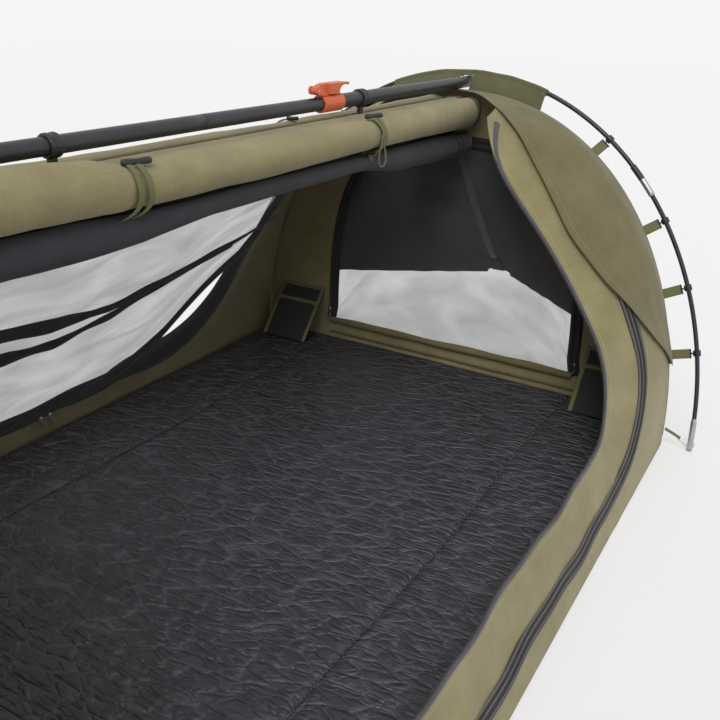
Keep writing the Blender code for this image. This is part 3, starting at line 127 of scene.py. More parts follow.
# %% Grid helpers
def surface(name, points, wrap=False, close=False, flip=False, dark_rows=None):
    """Mesh object from a (rows, columns, 3) array: each cell of the grid becomes one quad.

    wrap joins the last column to the first, close fills both ends, flip turns the faces over,
    and dark_rows is a mask over the rows of cells that take the second material."""
    points = np.asarray(points, float)
    rows, columns = points.shape[:2]
    across = columns if wrap else columns - 1
    i, j = np.meshgrid(np.arange(rows - 1), np.arange(across), indexing="ij")
    here, following = i * columns, (j + 1) % columns
    quads = np.stack((here + j, here + following, here + columns + following, here + columns + j), -1)
    ring = np.concatenate((points, points[:, :1]), 1) if wrap else points
    u = np.concatenate(([0], np.cumsum(np.linalg.norm(np.diff(ring, axis=1), axis=2).mean(0))))
    v = np.concatenate(([0], np.cumsum(np.linalg.norm(np.diff(points, axis=0), axis=2).mean(1))))
    uv = np.stack((np.stack((u[j], v[i]), -1), np.stack((u[j + 1], v[i]), -1),
                   np.stack((u[j + 1], v[i + 1]), -1), np.stack((u[j], v[i + 1]), -1)), -2)
    quads, uv = quads.reshape(-1, 4), uv.reshape(-1, 4, 2)
    if flip:
        quads, uv = quads[:, ::-1], uv[:, ::-1]
    faces = quads.tolist()
    if close:
        low = list(range(columns))
        high = list(range((rows - 1) * columns, rows * columns))
        faces += [low if flip else low[::-1], high[::-1] if flip else high]
    mesh = bpy.data.meshes.new(name)
    mesh.from_pydata(points.reshape(-1, 3).tolist(), [], faces)
    layer = mesh.uv_layers.new(name="UVMap")
    flat = np.zeros((len(mesh.loops), 2))
    flat[:len(uv) * 4] = uv.reshape(-1, 2)
    layer.data.foreach_set("uv", flat.ravel())
    if dark_rows is not None:
        mask = np.repeat(np.asarray(dark_rows, int)[:, None], across, 1).ravel()
        indexes = np.zeros(len(mesh.polygons), int)
        indexes[:len(mask)] = mask
        mesh.polygons.foreach_set("material_index", indexes)
    mesh.polygons.foreach_set("use_smooth", [True] * len(mesh.polygons))
    mesh.update()
    item = bpy.data.objects.new(name, mesh)
    bpy.context.scene.collection.objects.link(item)
    return item


def xyz(x, y, z):
    """One array of points from three arrays or numbers that fit together."""
    return np.stack(np.broadcast_arrays(*(np.asarray(part, float) for part in (x, y, z))), -1)


# %% Tube helpers
def unit(vectors):
    """The same vectors with a length of one."""
    return vectors / np.linalg.norm(vectors, axis=-1, keepdims=True)


def along(points):
    """Unit vectors along a path, from the differences between its points."""
    return unit(np.gradient(np.asarray(points, float), axis=0))


def tube_points(path, radius, sides=16, squash=1.0, reference=(0, 0, 1)):
    """Rings round a path: point = path + radius * (side * cos + top * sin), for turns round the path."""
    path = np.asarray(path, float)
    way = along(path)
    side = unit(np.cross(way, np.asarray(reference, float)))
    top = np.cross(side, way)
    turn = np.linspace(0, 2 * np.pi, sides, endpoint=False)
    reach = np.broadcast_to(np.asarray(radius, float), (len(path),))[:, None, None]
    offsets = np.cos(turn)[:, None] * side[:, None] + squash * np.sin(turn)[:, None] * top[:, None]
    return path[:, None] + reach * offsets


def tube(name, path, radius, sides=16, squash=1.0, reference=(0, 0, 1), dark_rows=None):
    """Closed round rod along a path, with its rings from tube_points."""
    rings = tube_points(path, radius, sides, squash, reference)
    return surface(name, rings, wrap=True, close=True, flip=True, dark_rows=dark_rows)


# %% Finishing helpers
def thicken(item, thickness, offset=-1.0, second=False):
    """Give a sheet its thickness with Solidify, with the inner face in the second material if asked."""
    skin = item.modifiers.new("Skin", "SOLIDIFY")
    skin.thickness = thickness
    skin.offset = offset
    if second:
        skin.material_offset = 1
    return item


def weld(item, distance=0.00002):
    """Merge the points that lie together, such as where a ring comes back to its start."""
    item.modifiers.new("Weld", "WELD").merge_threshold = distance
    return item


def dress(item, materials, body="shelter", replaces=()):
    """Give a piece its materials, the body that it rides on, and the solids that it stands for."""
    for material in materials:
        item.data.materials.append(material)
    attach(item, body)
    if replaces:
        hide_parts(*replaces)
    return item


# %% Number helpers
WAVES = 9


def folds(u, v, seed, low, high):
    """Soft random folds: a sum of sine waves with random directions, phases and low to high waves a metre."""
    rng = np.random.default_rng(seed)
    total = np.zeros(np.broadcast(u, v).shape)
    turns, paces = rng.uniform(0, np.pi, WAVES), rng.uniform(low, high, WAVES)
    phases = rng.uniform(0, 2 * np.pi, WAVES)
    for turn, pace, phase in zip(turns, paces, phases):
        total += np.sin(2 * np.pi * pace * (u * np.cos(turn) + v * np.sin(turn)) + phase)
    return total / WAVES ** 0.5


def ease(value, low, high):
    """Smooth step from 0 at low to 1 at high: 3 s^2 - 2 s^3 of the share s between them."""
    share = np.clip((value - low) / (high - low), 0, 1)
    return share * share * (3 - 2 * share)


def resample(points, count):
    """The same path with evenly spaced points."""
    points = np.asarray(points, float)
    length = np.concatenate(([0], np.cumsum(np.linalg.norm(np.diff(points, axis=0), axis=1))))
    at = np.linspace(0, length[-1], count)
    return np.stack([np.interp(at, length, points[:, k]) for k in range(points.shape[1])], -1)


def soften(values, times):
    """Round off the corners of a row of numbers by averaging neighbours."""
    values = np.array(values, float)
    for _ in range(times):
        values[1:-1] = (values[:-2] + 2 * values[1:-1] + values[2:]) / 4
    return values


def arch_points(turns, half, top, power):
    """(x, z) of a superellipse arch: x = half cos(t)^(2/p) with the sign of cos, z = top sin(t)^(2/p)."""
    across, rise = np.cos(turns), np.maximum(np.sin(turns), 0)
    return np.stack((half * np.sign(across) * np.abs(across) ** (2 / power), top * rise ** (2 / power)), -1)


print("helpers ready")

# %% [markdown]
# ## Materials
# Canvas is a plain weave with slubs, webbing is a coarser one, netting is half air. The shared
# effects, a weave, uneven yarn and rows of stitches, are node groups, built once and placed in
# each material with its own numbers. The shader itself stays in the material.

# %% Node group helpers
def colour(code):
    """Linear colour from a six-digit hex code: each part with the display's curve undone."""
    parts = [int(code[k:k + 2], 16) / 255 for k in (0, 2, 4)]
    return tuple(c / 12.92 if c <= 0.04045 else ((c + 0.055) / 1.055) ** 2.4 for c in parts) + (1.0,)


def new_group(name, inputs, outputs):
    """Start a shader node group with number or vector inputs and outputs."""
    group = bpy.data.node_groups.new(name, "ShaderNodeTree")
    for label, kind, value in inputs:
        socket = group.interface.new_socket(label, in_out="INPUT", socket_type=kind)
        if value is not None:
            socket.default_value = value
    for label, kind in outputs:
        group.interface.new_socket(label, in_out="OUTPUT", socket_type=kind)
    return group, group.nodes.new("NodeGroupInput"), group.nodes.new("NodeGroupOutput")


def maths(tree, operation, first, second=None, third=None, clamp=False):
    """Add a Math node and return its output; each operand is a socket or a number."""
    node = tree.nodes.new("ShaderNodeMath")
    node.operation = operation
    node.use_clamp = clamp
    for index, value in enumerate((first, second, third)):
        if value is None:
            continue
        if isinstance(value, (int, float)):
            node.inputs[index].default_value = value
        else:
            tree.links.new(value, node.inputs[index])
    return node.outputs[0]


FLOAT, VECTOR = "NodeSocketFloat", "NodeSocketVector"

# %% [markdown]
# ## Weave, yarn and stitches
# Seen close, cloth is crossing threads of uneven thickness. The weave is the product of two sine
# waves, one for each set of threads, and the yarn is noise stretched along each of them. Stitches
# are dashes on two lines beside the cloth's edge. Patterns worked out this way never repeat
# visibly and need no picture.

# %% Weave group
weave_inputs = [("Vector", VECTOR, None), ("Threads per metre", FLOAT, 900.0)]
weave, given, result = new_group("plain weave", weave_inputs, [("Height", FLOAT)])
split = weave.nodes.new("ShaderNodeSeparateXYZ")
weave.links.new(given.outputs["Vector"], split.inputs[0])
pace = maths(weave, "MULTIPLY", given.outputs["Threads per metre"], math.pi)
warp = maths(weave, "SINE", maths(weave, "MULTIPLY", split.outputs[0], pace))
weft = maths(weave, "SINE", maths(weave, "MULTIPLY", split.outputs[1], pace))
cross = maths(weave, "MULTIPLY", warp, weft)
weave.links.new(maths(weave, "MULTIPLY_ADD", cross, 0.5, 0.5), result.inputs["Height"])

# %% Slub group
slub_inputs = [("Vector", VECTOR, None), ("Fineness", FLOAT, 1.0)]
slub, given, result = new_group("uneven yarn", slub_inputs, [("Shade", FLOAT)])
shades = []
for stretch in ((30.0, 420.0, 30.0), (420.0, 30.0, 30.0)):
    place = slub.nodes.new("ShaderNodeMapping")
    place.inputs["Scale"].default_value = stretch
    slub.links.new(given.outputs["Vector"], place.inputs["Vector"])
    grain = slub.nodes.new("ShaderNodeTexNoise")
    slub.links.new(place.outputs[0], grain.inputs["Vector"])
    slub.links.new(given.outputs["Fineness"], grain.inputs["Scale"])
    grain.inputs["Detail"].default_value = 2.0
    shades.append(grain.outputs[0])
slub.links.new(maths(slub, "MULTIPLY", maths(slub, "ADD", *shades), 0.5), result.inputs["Shade"])

# %% Stitch group
STITCH_SHARE, THREAD_HALF_WIDTH = 0.72, 0.0007
stitch_inputs = [("Vector", VECTOR, None), ("First row", FLOAT, 0.003), ("Second row", FLOAT, 0.010),
                 ("Pitch", FLOAT, 0.004)]
stitch, given, result = new_group("rows of stitches", stitch_inputs, [("Mask", FLOAT)])
split = stitch.nodes.new("ShaderNodeSeparateXYZ")
stitch.links.new(given.outputs["Vector"], split.inputs[0])
dash = maths(stitch, "FRACT", maths(stitch, "DIVIDE", split.outputs[0], given.outputs["Pitch"]))
dash = maths(stitch, "LESS_THAN", dash, STITCH_SHARE)
rows = []
for label in ("First row", "Second row"):
    gap = maths(stitch, "ABSOLUTE", maths(stitch, "SUBTRACT", split.outputs[1], given.outputs[label]))
    rows.append(maths(stitch, "LESS_THAN", gap, THREAD_HALF_WIDTH))
rows = maths(stitch, "ADD", *rows, clamp=True)
stitch.links.new(maths(stitch, "MULTIPLY", rows, dash), result.inputs["Mask"])
print("node groups", [group.name for group in bpy.data.node_groups])

# %% [markdown]
# ## Cloth materials
# The canvas of the body, a darker copy of it for the window cover's underside (painted shade),
# webbing, tape and rolled netting differ only in colour, thread and gloss, so one function makes
# them all. A broad bump under the weave keeps the cloth from looking like a painted board.

# %% Material helpers
def place_group(tree, group, vector, **values):
    """Put a node group in a material, fed by a vector, with its numbers set."""
    node = tree.nodes.new("ShaderNodeGroup")
    node.node_tree = group
    tree.links.new(vector, node.inputs["Vector"])
    for label, value in values.items():
        node.inputs[label.replace("_", " ")].default_value = value
    return node


def ramp(tree, value, stops):
    """Colour ramp between two (place, colour) stops."""
    node = tree.nodes.new("ShaderNodeValToRGB")
    for element, (place, shade) in zip(node.color_ramp.elements, stops):
        element.position, element.color = place, shade
    tree.links.new(value, node.inputs[0])
    return node.outputs[0]


def noise(tree, vector, scale, detail=2.0, distortion=0.0, stretch=None):
    """Noise texture on a vector, stretched if asked."""
    if stretch is not None:
        place = tree.nodes.new("ShaderNodeMapping")
        place.inputs["Scale"].default_value = stretch
        tree.links.new(vector, place.inputs["Vector"])
        vector = place.outputs[0]
    node = tree.nodes.new("ShaderNodeTexNoise")
    node.inputs["Scale"].default_value = scale
    node.inputs["Detail"].default_value = detail
    node.inputs["Distortion"].default_value = distortion
    tree.links.new(vector, node.inputs["Vector"])
    return node.outputs[0]


# %% Shader helpers
def start_material(name, roughness, coords="UV"):
    """A material with its Principled shader and the vector that its pattern follows."""
    material = bpy.data.materials.new(name)
    material.use_nodes = True
    tree = material.node_tree
    shader = tree.nodes["Principled BSDF"]
    shader.inputs["Roughness"].default_value = roughness
    source = tree.nodes.new("ShaderNodeTexCoord")
    return material, tree, shader, source.outputs[coords]


def bump(tree, shader, height, distance, strength=1.0, before=None):
    """Bump from a height in metres times distance; it can follow an earlier bump."""
    node = tree.nodes.new("ShaderNodeBump")
    node.inputs["Distance"].default_value = distance
    node.inputs["Strength"].default_value = strength
    tree.links.new(height, node.inputs["Height"])
    if before is not None:
        tree.links.new(before, node.inputs["Normal"])
    tree.links.new(node.outputs[0], shader.inputs["Normal"])
    return node.outputs[0]


def blend_colours(tree, factor, first, second):
    """Mix node for colours; the inputs are sockets, numbers or colours."""
    node = tree.nodes.new("ShaderNodeMix")
    node.data_type = "RGBA"
    for value, socket in ((factor, node.inputs[0]), (first, node.inputs[6]), (second, node.inputs[7])):
        if hasattr(value, "links"):
            tree.links.new(value, socket)
        else:
            socket.default_value = value
    return node.outputs[2]


# %% Woven cloths
def woven(name, dark, light, threads=900.0, roughness=0.92, depth=0.0003, stitches=None, fineness=1.0,
          sheen=0.15):
    """Woven cloth: slubs and soft mottling in the colour, the weave in the bump, stitches if asked."""
    material, tree, shader, uv = start_material(name, roughness)
    yarn = place_group(tree, slub, uv, Fineness=fineness)
    mottle = noise(tree, uv, 9.0, 3.0)
    mixed = maths(tree, "MULTIPLY_ADD", mottle, 0.55, maths(tree, "MULTIPLY", yarn.outputs[0], 0.5))
    base = ramp(tree, mixed, [(0.36, colour(dark)), (0.64, colour(light))])
    height = place_group(tree, weave, uv, Threads_per_metre=threads).outputs[0]
    height = maths(tree, "MULTIPLY_ADD", yarn.outputs[0], 1.2, height)
    if stitches:
        sewn = place_group(tree, stitch, uv, First_row=stitches[0], Second_row=stitches[1])
        base = blend_colours(tree, sewn.outputs[0], base, colour(stitches[2]))
        height = maths(tree, "MULTIPLY_ADD", sewn.outputs[0], 2.0, height)
    tree.links.new(base, shader.inputs["Base Color"])
    soft = bump(tree, shader, noise(tree, uv, 14.0, 3.0), 0.006, 0.35)
    bump(tree, shader, height, depth, 0.6, soft)
    shader.inputs["Sheen Weight"].default_value = sheen
    shader.inputs["Sheen Roughness"].default_value = 0.6
    return material


CANVAS = woven("canvas", "80764f", "978d66")
HOOD_CANVAS = woven("hood canvas", "5f5737", "726a46", stitches=(0.004, 0.012, "7d7553"))
HEM_CANVAS = woven("hem canvas", "7b7149", "928862", stitches=(0.004, 0.014, "a39b76"))
# Painted shade: a darker copy of the canvas for the window cover's underside, kept dark against light thrown
# up by the floor.
UNDERSIDE_SHADE_CANVAS = woven("underside painted shade", "38342a", "484335", roughness=0.8, sheen=0.0)
BINDING = woven("olive binding", "5b5b35", "72714a", threads=1400.0, fineness=1.6)
SLEEVE_CANVAS = woven("sleeve canvas", "4c4b2c", "605f3e", threads=1100.0)
WEBBING = woven("grey webbing", "6a6863", "7e7c75", threads=700.0, depth=0.0006)
NET_ROLLED = woven("rolled netting", "18181d", "292932", threads=1100.0, roughness=0.8, sheen=0.1)
ZIP_TAPE = woven("zip tape", "131315", "1e1e21", threads=1300.0, roughness=0.8)
EDGE_TAPE = woven("edge tape", "37343b", "4d4951", threads=1500.0, roughness=0.7)
COIL_CORD = woven("zip cord", "4b4744", "625d58", threads=1800.0, roughness=0.7)
print("cloths ready")

# %% [markdown]
# ## Netting and mattress cover
# Insect netting lets most light through, so its material is an alpha with fine bars at the
# threads' pitch and cloudy gathers. The cover is a thin taffeta that crumples into creases of
# several sizes. Voronoi cells, stretched one way, have borders that look like such creases.

# %% Netting
NET_PITCH = 0.0016


def netting(name, thread, cover):
    """See-through netting: the alpha is the share that the threads cover, finely barred at their pitch."""
    material, tree, shader, uv = start_material(name, 0.75)
    split = tree.nodes.new("ShaderNodeSeparateXYZ")
    tree.links.new(uv, split.inputs[0])
    waves = 2 * math.pi / NET_PITCH
    bars = [maths(tree, "COSINE", maths(tree, "MULTIPLY", split.outputs[k], waves)) for k in (0, 1)]
    fine = maths(tree, "MULTIPLY", maths(tree, "ADD", *bars), 0.05)
    gathers = noise(tree, uv, 5.0, 4.0, 0.4, stretch=(1.0, 3.0, 1.0))
    cloud = maths(tree, "MULTIPLY_ADD", gathers, 0.40, cover - 0.20)
    tree.links.new(maths(tree, "ADD", fine, cloud, clamp=True), shader.inputs["Alpha"])
    shader.inputs["Base Color"].default_value = colour(thread)
    return material


NET = netting("insect netting", "55555e", 0.30)
WINDOW_NET = netting("window netting", "5a5a5e", 0.25)


# %% Crumpled cover
def creases(tree, vector, scale, stretch, turn, sharp):
    """Creases of a crumpled cloth: narrow ridges along the borders of stretched, bent Voronoi cells."""
    place = tree.nodes.new("ShaderNodeMapping")
    place.inputs["Rotation"].default_value = (0, 0, math.radians(turn))
    place.inputs["Scale"].default_value = (stretch, 1.0, 1.0)
    tree.links.new(vector, place.inputs["Vector"])
    cells = tree.nodes.new("ShaderNodeTexVoronoi")
    cells.feature = "DISTANCE_TO_EDGE"
    cells.inputs["Scale"].default_value = scale
    tree.links.new(place.outputs[0], cells.inputs["Vector"])
    edge = maths(tree, "MULTIPLY", cells.outputs["Distance"], sharp, clamp=True)
    return maths(tree, "POWER", maths(tree, "SUBTRACT", 1.0, edge), 2.0)


def crinkled(name):
    """Mattress cover: a light taffeta with crinkles of several sizes that mostly run one way, and a painted
    highlight on their crests.
    """
    material, tree, shader, uv = start_material(name, 0.5)
    wobble = tree.nodes.new("ShaderNodeTexNoise")
    wobble.inputs["Scale"].default_value = 14.0
    wobble.inputs["Detail"].default_value = 2.0
    tree.links.new(uv, wobble.inputs["Vector"])
    shift = tree.nodes.new("ShaderNodeVectorMath")
    shift.operation = "MULTIPLY_ADD"
    shift.inputs[1].default_value = (0.024, 0.024, 0.0)
    tree.links.new(wobble.outputs["Color"], shift.inputs[0])
    tree.links.new(uv, shift.inputs[2])
    bent = shift.outputs[0]
    crossed = maths(tree, "MULTIPLY_ADD", noise(tree, uv, 7.0, 2.0), 3.0, -0.95, clamp=True)
    plain = maths(tree, "SUBTRACT", 1.0, crossed)
    large = creases(tree, bent, scale=38.0, stretch=0.34, turn=-26.0, sharp=5.0)
    small = creases(tree, bent, scale=68.0, stretch=0.40, turn=-34.0, sharp=3.6)
    other = creases(tree, bent, scale=50.0, stretch=0.42, turn=38.0, sharp=5.0)
    large = maths(tree, "MULTIPLY", large, 0.8)
    height = maths(tree, "MULTIPLY_ADD", maths(tree, "MULTIPLY", small, plain), 0.55, large)
    height = maths(tree, "MULTIPLY_ADD", maths(tree, "MULTIPLY", other, crossed), 0.6, height)
    pebble = noise(tree, bent, 60.0, 3.0, stretch=(0.6, 1.0, 1.0))
    height = maths(tree, "MULTIPLY_ADD", pebble, 0.35, height)
    tone = noise(tree, uv, 2.2, 2.0)
    base = ramp(tree, tone, [(0.3, colour("232227")), (0.7, colour("2d2c31"))])
    # Painted highlight: the crests of the creases are lightened in the colour itself, towards 77757d.
    painted_ridge_highlight = maths(tree, "MULTIPLY", height, 0.30, clamp=True)
    tree.links.new(blend_colours(tree, painted_ridge_highlight, base, colour("77757d")), shader.inputs["Base Color"])
    bump(tree, shader, height, 0.0060, 1.0)
    return material


COVER = crinkled("mattress cover")

# %% [markdown]
# ## Hard materials
# Poles are powder coated, clips moulded, tips bare alloy. Fine grain in the gloss and a little
# change of colour keep them from looking drawn. They read Object coordinates, because nothing on
# them follows the surface.

# %% Hard materials
def solid(name, code, roughness, metallic=0.0, grain=300.0, depth=0.0002, vary=0.12, stretch=None):
    """Moulded, coated or drawn surface with fine grain, uneven gloss and a little colour variation."""
    material, tree, shader, place = start_material(name, roughness, "Object")
    fine = noise(tree, place, grain, 4.0, stretch=stretch)
    broad = noise(tree, place, 22.0, 3.0)
    plain = colour(code)
    pale = tuple(min(1.0, c * (1 + vary) + 0.004) for c in plain[:3]) + (1.0,)
    deep = tuple(c * (1 - vary) for c in plain[:3]) + (1.0,)
    tree.links.new(ramp(tree, broad, [(0.3, deep), (0.7, pale)]), shader.inputs["Base Color"])
    gloss = maths(tree, "MULTIPLY_ADD", fine, 0.25, roughness - 0.12, clamp=True)
    tree.links.new(gloss, shader.inputs["Roughness"])
    shader.inputs["Metallic"].default_value = metallic
    bump(tree, shader, fine, depth, 0.4)
    return material


POLE = solid("powder coated pole", "26262a", 0.40, grain=900.0, depth=0.00015)
PLASTIC = solid("black plastic", "1d1d1f", 0.42)
ORANGE = solid("orange plastic", "cc6238", 0.45, vary=0.05)
ALLOY = solid("drawn alloy", "b9b9bd", 0.34, 1.0, stretch=(1.0, 1.0, 0.05))
STEEL = solid("plated steel", "c4c4c8", 0.25, 1.0)
PVC = solid("floor cloth", "5a5860", 0.6, grain=700.0)
RED = solid("red thread", "a4402f", 0.6)
print("materials", len(bpy.data.materials))

# %% [markdown]
# ## The canvas body as a formula
# Across the shelter the canvas is a superellipse: a full arch at each end and a drawn-in curve
# between the gussets. The solids follow the same formula, with slightly fuller arches. A formula
# gives every seam, zip and fold a place on the cloth, which a mesh drawn by hand doesn't.

# %% Section of the body
HALF_WIDTH, HALF_LENGTH, WALL_END = 0.695, 1.065, 1.0627
ARCH_HEIGHT, SAG_HEIGHT, RIDGE_HEIGHT = 0.922, 0.915, 0.940
GUSSET_DEPTH, ROOF_SLOT_HALF, GROUND = 0.405, 0.12, 0.003
ARCH_POWER, SAG_POWER = 2.2, 1.35
NEAR, FAR, HEAD, FOOT = 1, -1, 1, -1
SIDES, ENDS = (("near", NEAR), ("far", FAR)), (("head", HEAD), ("foot", FOOT))


def section(y):
    """Height and power of the body's section at a length y, eased from the sag to the end arches."""
    share = ease(np.abs(y), HALF_LENGTH - GUSSET_DEPTH, HALF_LENGTH)
    return SAG_HEIGHT + (ARCH_HEIGHT - SAG_HEIGHT) * share, SAG_POWER + (ARCH_POWER - SAG_POWER) * share


def canvas_at(side, y, angle, lift=0.0):
    """Point on the body: x = w cos(a)^(2/p), z = h sin(a)^(2/p), moved out along the section's normal."""
    y, angle = np.broadcast_arrays(np.asarray(y, float), np.asarray(angle, float))
    height, power = section(y)
    x = HALF_WIDTH * np.maximum(np.cos(angle), 0) ** (2 / power)
    z = height * np.maximum(np.sin(angle), 0) ** (2 / power)
    nx = (np.maximum(x, 1e-9) / HALF_WIDTH) ** (power - 1) / HALF_WIDTH
    nz = (np.maximum(z, 1e-9) / height) ** (power - 1) / height
    size = np.hypot(nx, nz)
    return np.stack((side * (x + lift * nx / size), y, z + lift * nz / size), -1)


def angle_at(y, z):
    """Angle round the section at a length y and a height z."""
    height, power = section(y)
    return np.arcsin(np.clip(z / height, 0, 1) ** (power / 2))


def angle_at_width(y, x):
    """Angle round the section at a length y and a half width x."""
    power = section(y)[1]
    return np.arccos(np.clip(x / HALF_WIDTH, 0, 1) ** (power / 2))


print("section at the middle", section(0.0), "and at the ends", section(HALF_LENGTH))

# %% [markdown]
# ## Side walls
# Each side is a sill and two gussets in one panel, with a doorway cut out. In (length, angle)
# space it is a U: the inner line is the doorway, the outer line runs down one arch seam, along
# the base and up the other. Every cloth point is a share of the way between the two.

# %% Doorway line
DOOR_HALF, DOOR_SILL, DOOR_CORNER = 0.75, 0.175, 0.20
NEAR_SILL, FOOT_DOOR, FAR_HEAD_DOOR = 0.192, 0.88, 0.67


def flare(z):
    """How far a doorway's edge bends away from the middle as it nears the ridge."""
    return 0.20 * np.clip((np.asarray(z) - 0.62) / 0.28, 0, 1) ** 4


def slack_line(y, z, phase):
    """Small rise and fall of a doorway's lower edge, that fades out up the sides."""
    return (0.0045 * np.sin(13 * y + phase) + 0.002 * np.sin(31 * y + 2 * phase)) * (1 - ease(z, 0.22, 0.40))


def doorway(head, foot, sill, corner, top):
    """(y, z) points of a doorway, from the head side's top, along the sill, to the foot side's top."""
    turn = np.linspace(0, np.pi / 2, 24)
    halves = []
    for reach in (head, foot):
        bend = np.stack((reach - corner + corner * np.cos(turn), sill + corner - corner * np.sin(turn)), -1)
        height = np.linspace(top, sill + corner, 30)[:-1]
        halves.append(np.concatenate((np.stack((reach + flare(height), height), -1), bend)))
    return np.concatenate((halves[0], (halves[1] * [-1, 1])[::-1]))


# %% Wall grids
SIDE_STEPS, CORNER_STEPS, SILL_STEPS, WALL_ROWS = 54, 26, 34, 30
FOOT_OF_ARCH, FOOT_STEPS = 0.34, 13


def half_wall(half, sill, end, phase):
    """(y, angle) grids of one half of a wall: point = inner + (outer - inner) * share.

    Inner is the doorway line, outer the arch seam and the base, both up to the doorway's middle."""
    turn = np.linspace(0, np.pi / 2, CORNER_STEPS)
    arc_y = half - DOOR_CORNER + DOOR_CORNER * np.cos(turn)
    arc_z = sill + DOOR_CORNER * (1 - np.sin(turn))
    arc_a = angle_at(arc_y, arc_z + slack_line(end * arc_y, arc_z, phase))
    side_a = np.linspace(angle_at_width(half, ROOF_SLOT_HALF), arc_a[0], SIDE_STEPS)[:-1]
    sill_y = np.linspace(arc_y[-1], 0, SILL_STEPS)[1:]
    sill_a = angle_at(sill_y, sill + slack_line(end * sill_y, sill, phase))
    side_z = canvas_at(NEAR, half, side_a)[:, 2]
    inner_y = np.concatenate((half + flare(side_z), arc_y, sill_y))
    inner_a = np.concatenate((side_a, arc_a, sill_a))
    low, knee = angle_at(WALL_END, GROUND), angle_at(WALL_END, FOOT_OF_ARCH)
    seam_y = np.full(SIDE_STEPS - 1 + FOOT_STEPS, WALL_END)
    base_y = np.linspace(WALL_END, arc_y[-1], FOOT_STEPS + 1)[1:]
    seam_a = np.linspace(angle_at_width(WALL_END, ROOF_SLOT_HALF), knee, SIDE_STEPS)[:-1]
    outer_y = np.concatenate((seam_y, base_y, sill_y))
    outer_a = np.concatenate((seam_a, np.linspace(knee, low, FOOT_STEPS), np.full(FOOT_STEPS, low),
                              angle_at(sill_y, GROUND)))
    share = np.linspace(0, 1, WALL_ROWS)[:, None]
    y = inner_y * (1 - share) + outer_y * share
    angle = inner_a * (1 - share) + outer_a * share
    return y, np.maximum(angle, angle_at(y, GROUND))


# %% Walls from the grids
def side_wall(name, side, head, foot, sill):
    """Wall as a U-shaped grid between the doorway and the body's edges, lifted by soft waves."""
    y, angle = half_wall(head, sill, HEAD, side)
    foot_y, foot_angle = half_wall(foot, sill, FOOT, side)
    y = np.concatenate((y, -foot_y[:, -2::-1]), 1)
    angle = np.concatenate((angle, foot_angle[:, -2::-1]), 1)
    share = np.broadcast_to(np.linspace(0, 1, WALL_ROWS)[:, None], y.shape)
    waves = 0.0022 * folds(y, angle * 0.9, 3 + side, 0.8, 3.2) + 0.0008 * folds(y, angle, 9, 4, 9)
    lift = np.sin(np.pi * share) ** 0.7 * waves
    return thicken(surface(name, canvas_at(side, y, angle, lift), flip=side == FAR), 0.0018)


near_wall = side_wall("near_wall_cloth", NEAR, DOOR_HALF, FOOT_DOOR, NEAR_SILL)
far_wall = side_wall("far_wall_cloth", FAR, FAR_HEAD_DOOR, DOOR_HALF, DOOR_SILL)
for wall, node in ((near_wall, "near_side_wall"), (far_wall, "far_side_wall")):
    dress(wall, [HEM_CANVAS], replaces=[node])
print("side walls ready")

# %% [markdown]
# ## Zips and bindings on the walls
# A zip is a flat tape with a coil along it. A ribbon carries a small profile, of distances
# across the tape and heights above the cloth, along a line drawn on the wall, so that the tape
# follows every wave of the canvas.

# %% Ribbons on the walls
RIBBON_STEPS = 260


def wall_ribbon(name, side, line, profile, phase, widen=0.0):
    """Carry a profile of (across, lift) along a (y, z) line on the body: point = line + outward * across.

    Across points away from the doorway. widen is how much further the profile's inner rim reaches
    into the doorway, one number or one for each point of the line."""
    line = resample(line, RIBBON_STEPS)
    line[:, 1] += slack_line(line[:, 0], line[:, 1], phase)
    way = along(line)
    outward = np.stack((way[:, 1], -way[:, 0]), -1)
    if outward[RIBBON_STEPS // 2, 1] > 0:
        outward = -outward
    across, lift = np.array(profile).T
    reach = across - np.multiply.outer(np.broadcast_to(widen, (RIBBON_STEPS,)), across == across.min())
    place = line[:, None] + outward[:, None] * reach[..., None]
    y, z = place[..., 0], np.maximum(place[..., 1], GROUND)
    return surface(name, canvas_at(side, y, angle_at(y, z), lift[None, :]), flip=side == NEAR)


def coil_profile(middle, width=0.0055, height=0.0026, base=0.0008):
    """Half round hump of a zip coil, as (across, lift) points: width cos, height sin."""
    turn = np.linspace(0, np.pi, 7)
    return [(middle - width / 2 * math.cos(t), base + height * math.sin(t)) for t in turn]


# %% Outer zip of the near door
COIL_AT, CORD_AT, TAPE_LIFT = 0.0072, 0.0155, 0.0046
outer_line = doorway(head=0.875, foot=FOOT_DOOR + 0.11, sill=0.080, corner=0.27, top=0.80)
profile = [(-0.016, -0.0015), (-0.016, 0.0048), *coil_profile(-COIL_AT, base=TAPE_LIFT),
           (-0.001, TAPE_LIFT), (0.0, 0.0036), (0.001, TAPE_LIFT),
           *coil_profile(COIL_AT, base=TAPE_LIFT), (0.016, 0.0048), (0.016, -0.0015)]
near_zip = wall_ribbon("near_door_zip_tape", NEAR, outer_line, profile, 0.4)
dress(near_zip, [ZIP_TAPE], replaces=["near_door_zip"])
for number, (middle, low) in enumerate(((-CORD_AT, 0.0016), (-COIL_AT, 0.0040), (COIL_AT, 0.0040),
                                        (CORD_AT, 0.0016))):
    cord = [(middle - 0.0013, low), (middle - 0.0009, low + 0.0040), (middle + 0.0009, low + 0.0040),
            (middle + 0.0013, low)]
    piece = wall_ribbon(f"near_door_zip_cord_{number}", NEAR, outer_line, cord, 0.4)
    dress(piece, [COIL_CORD])

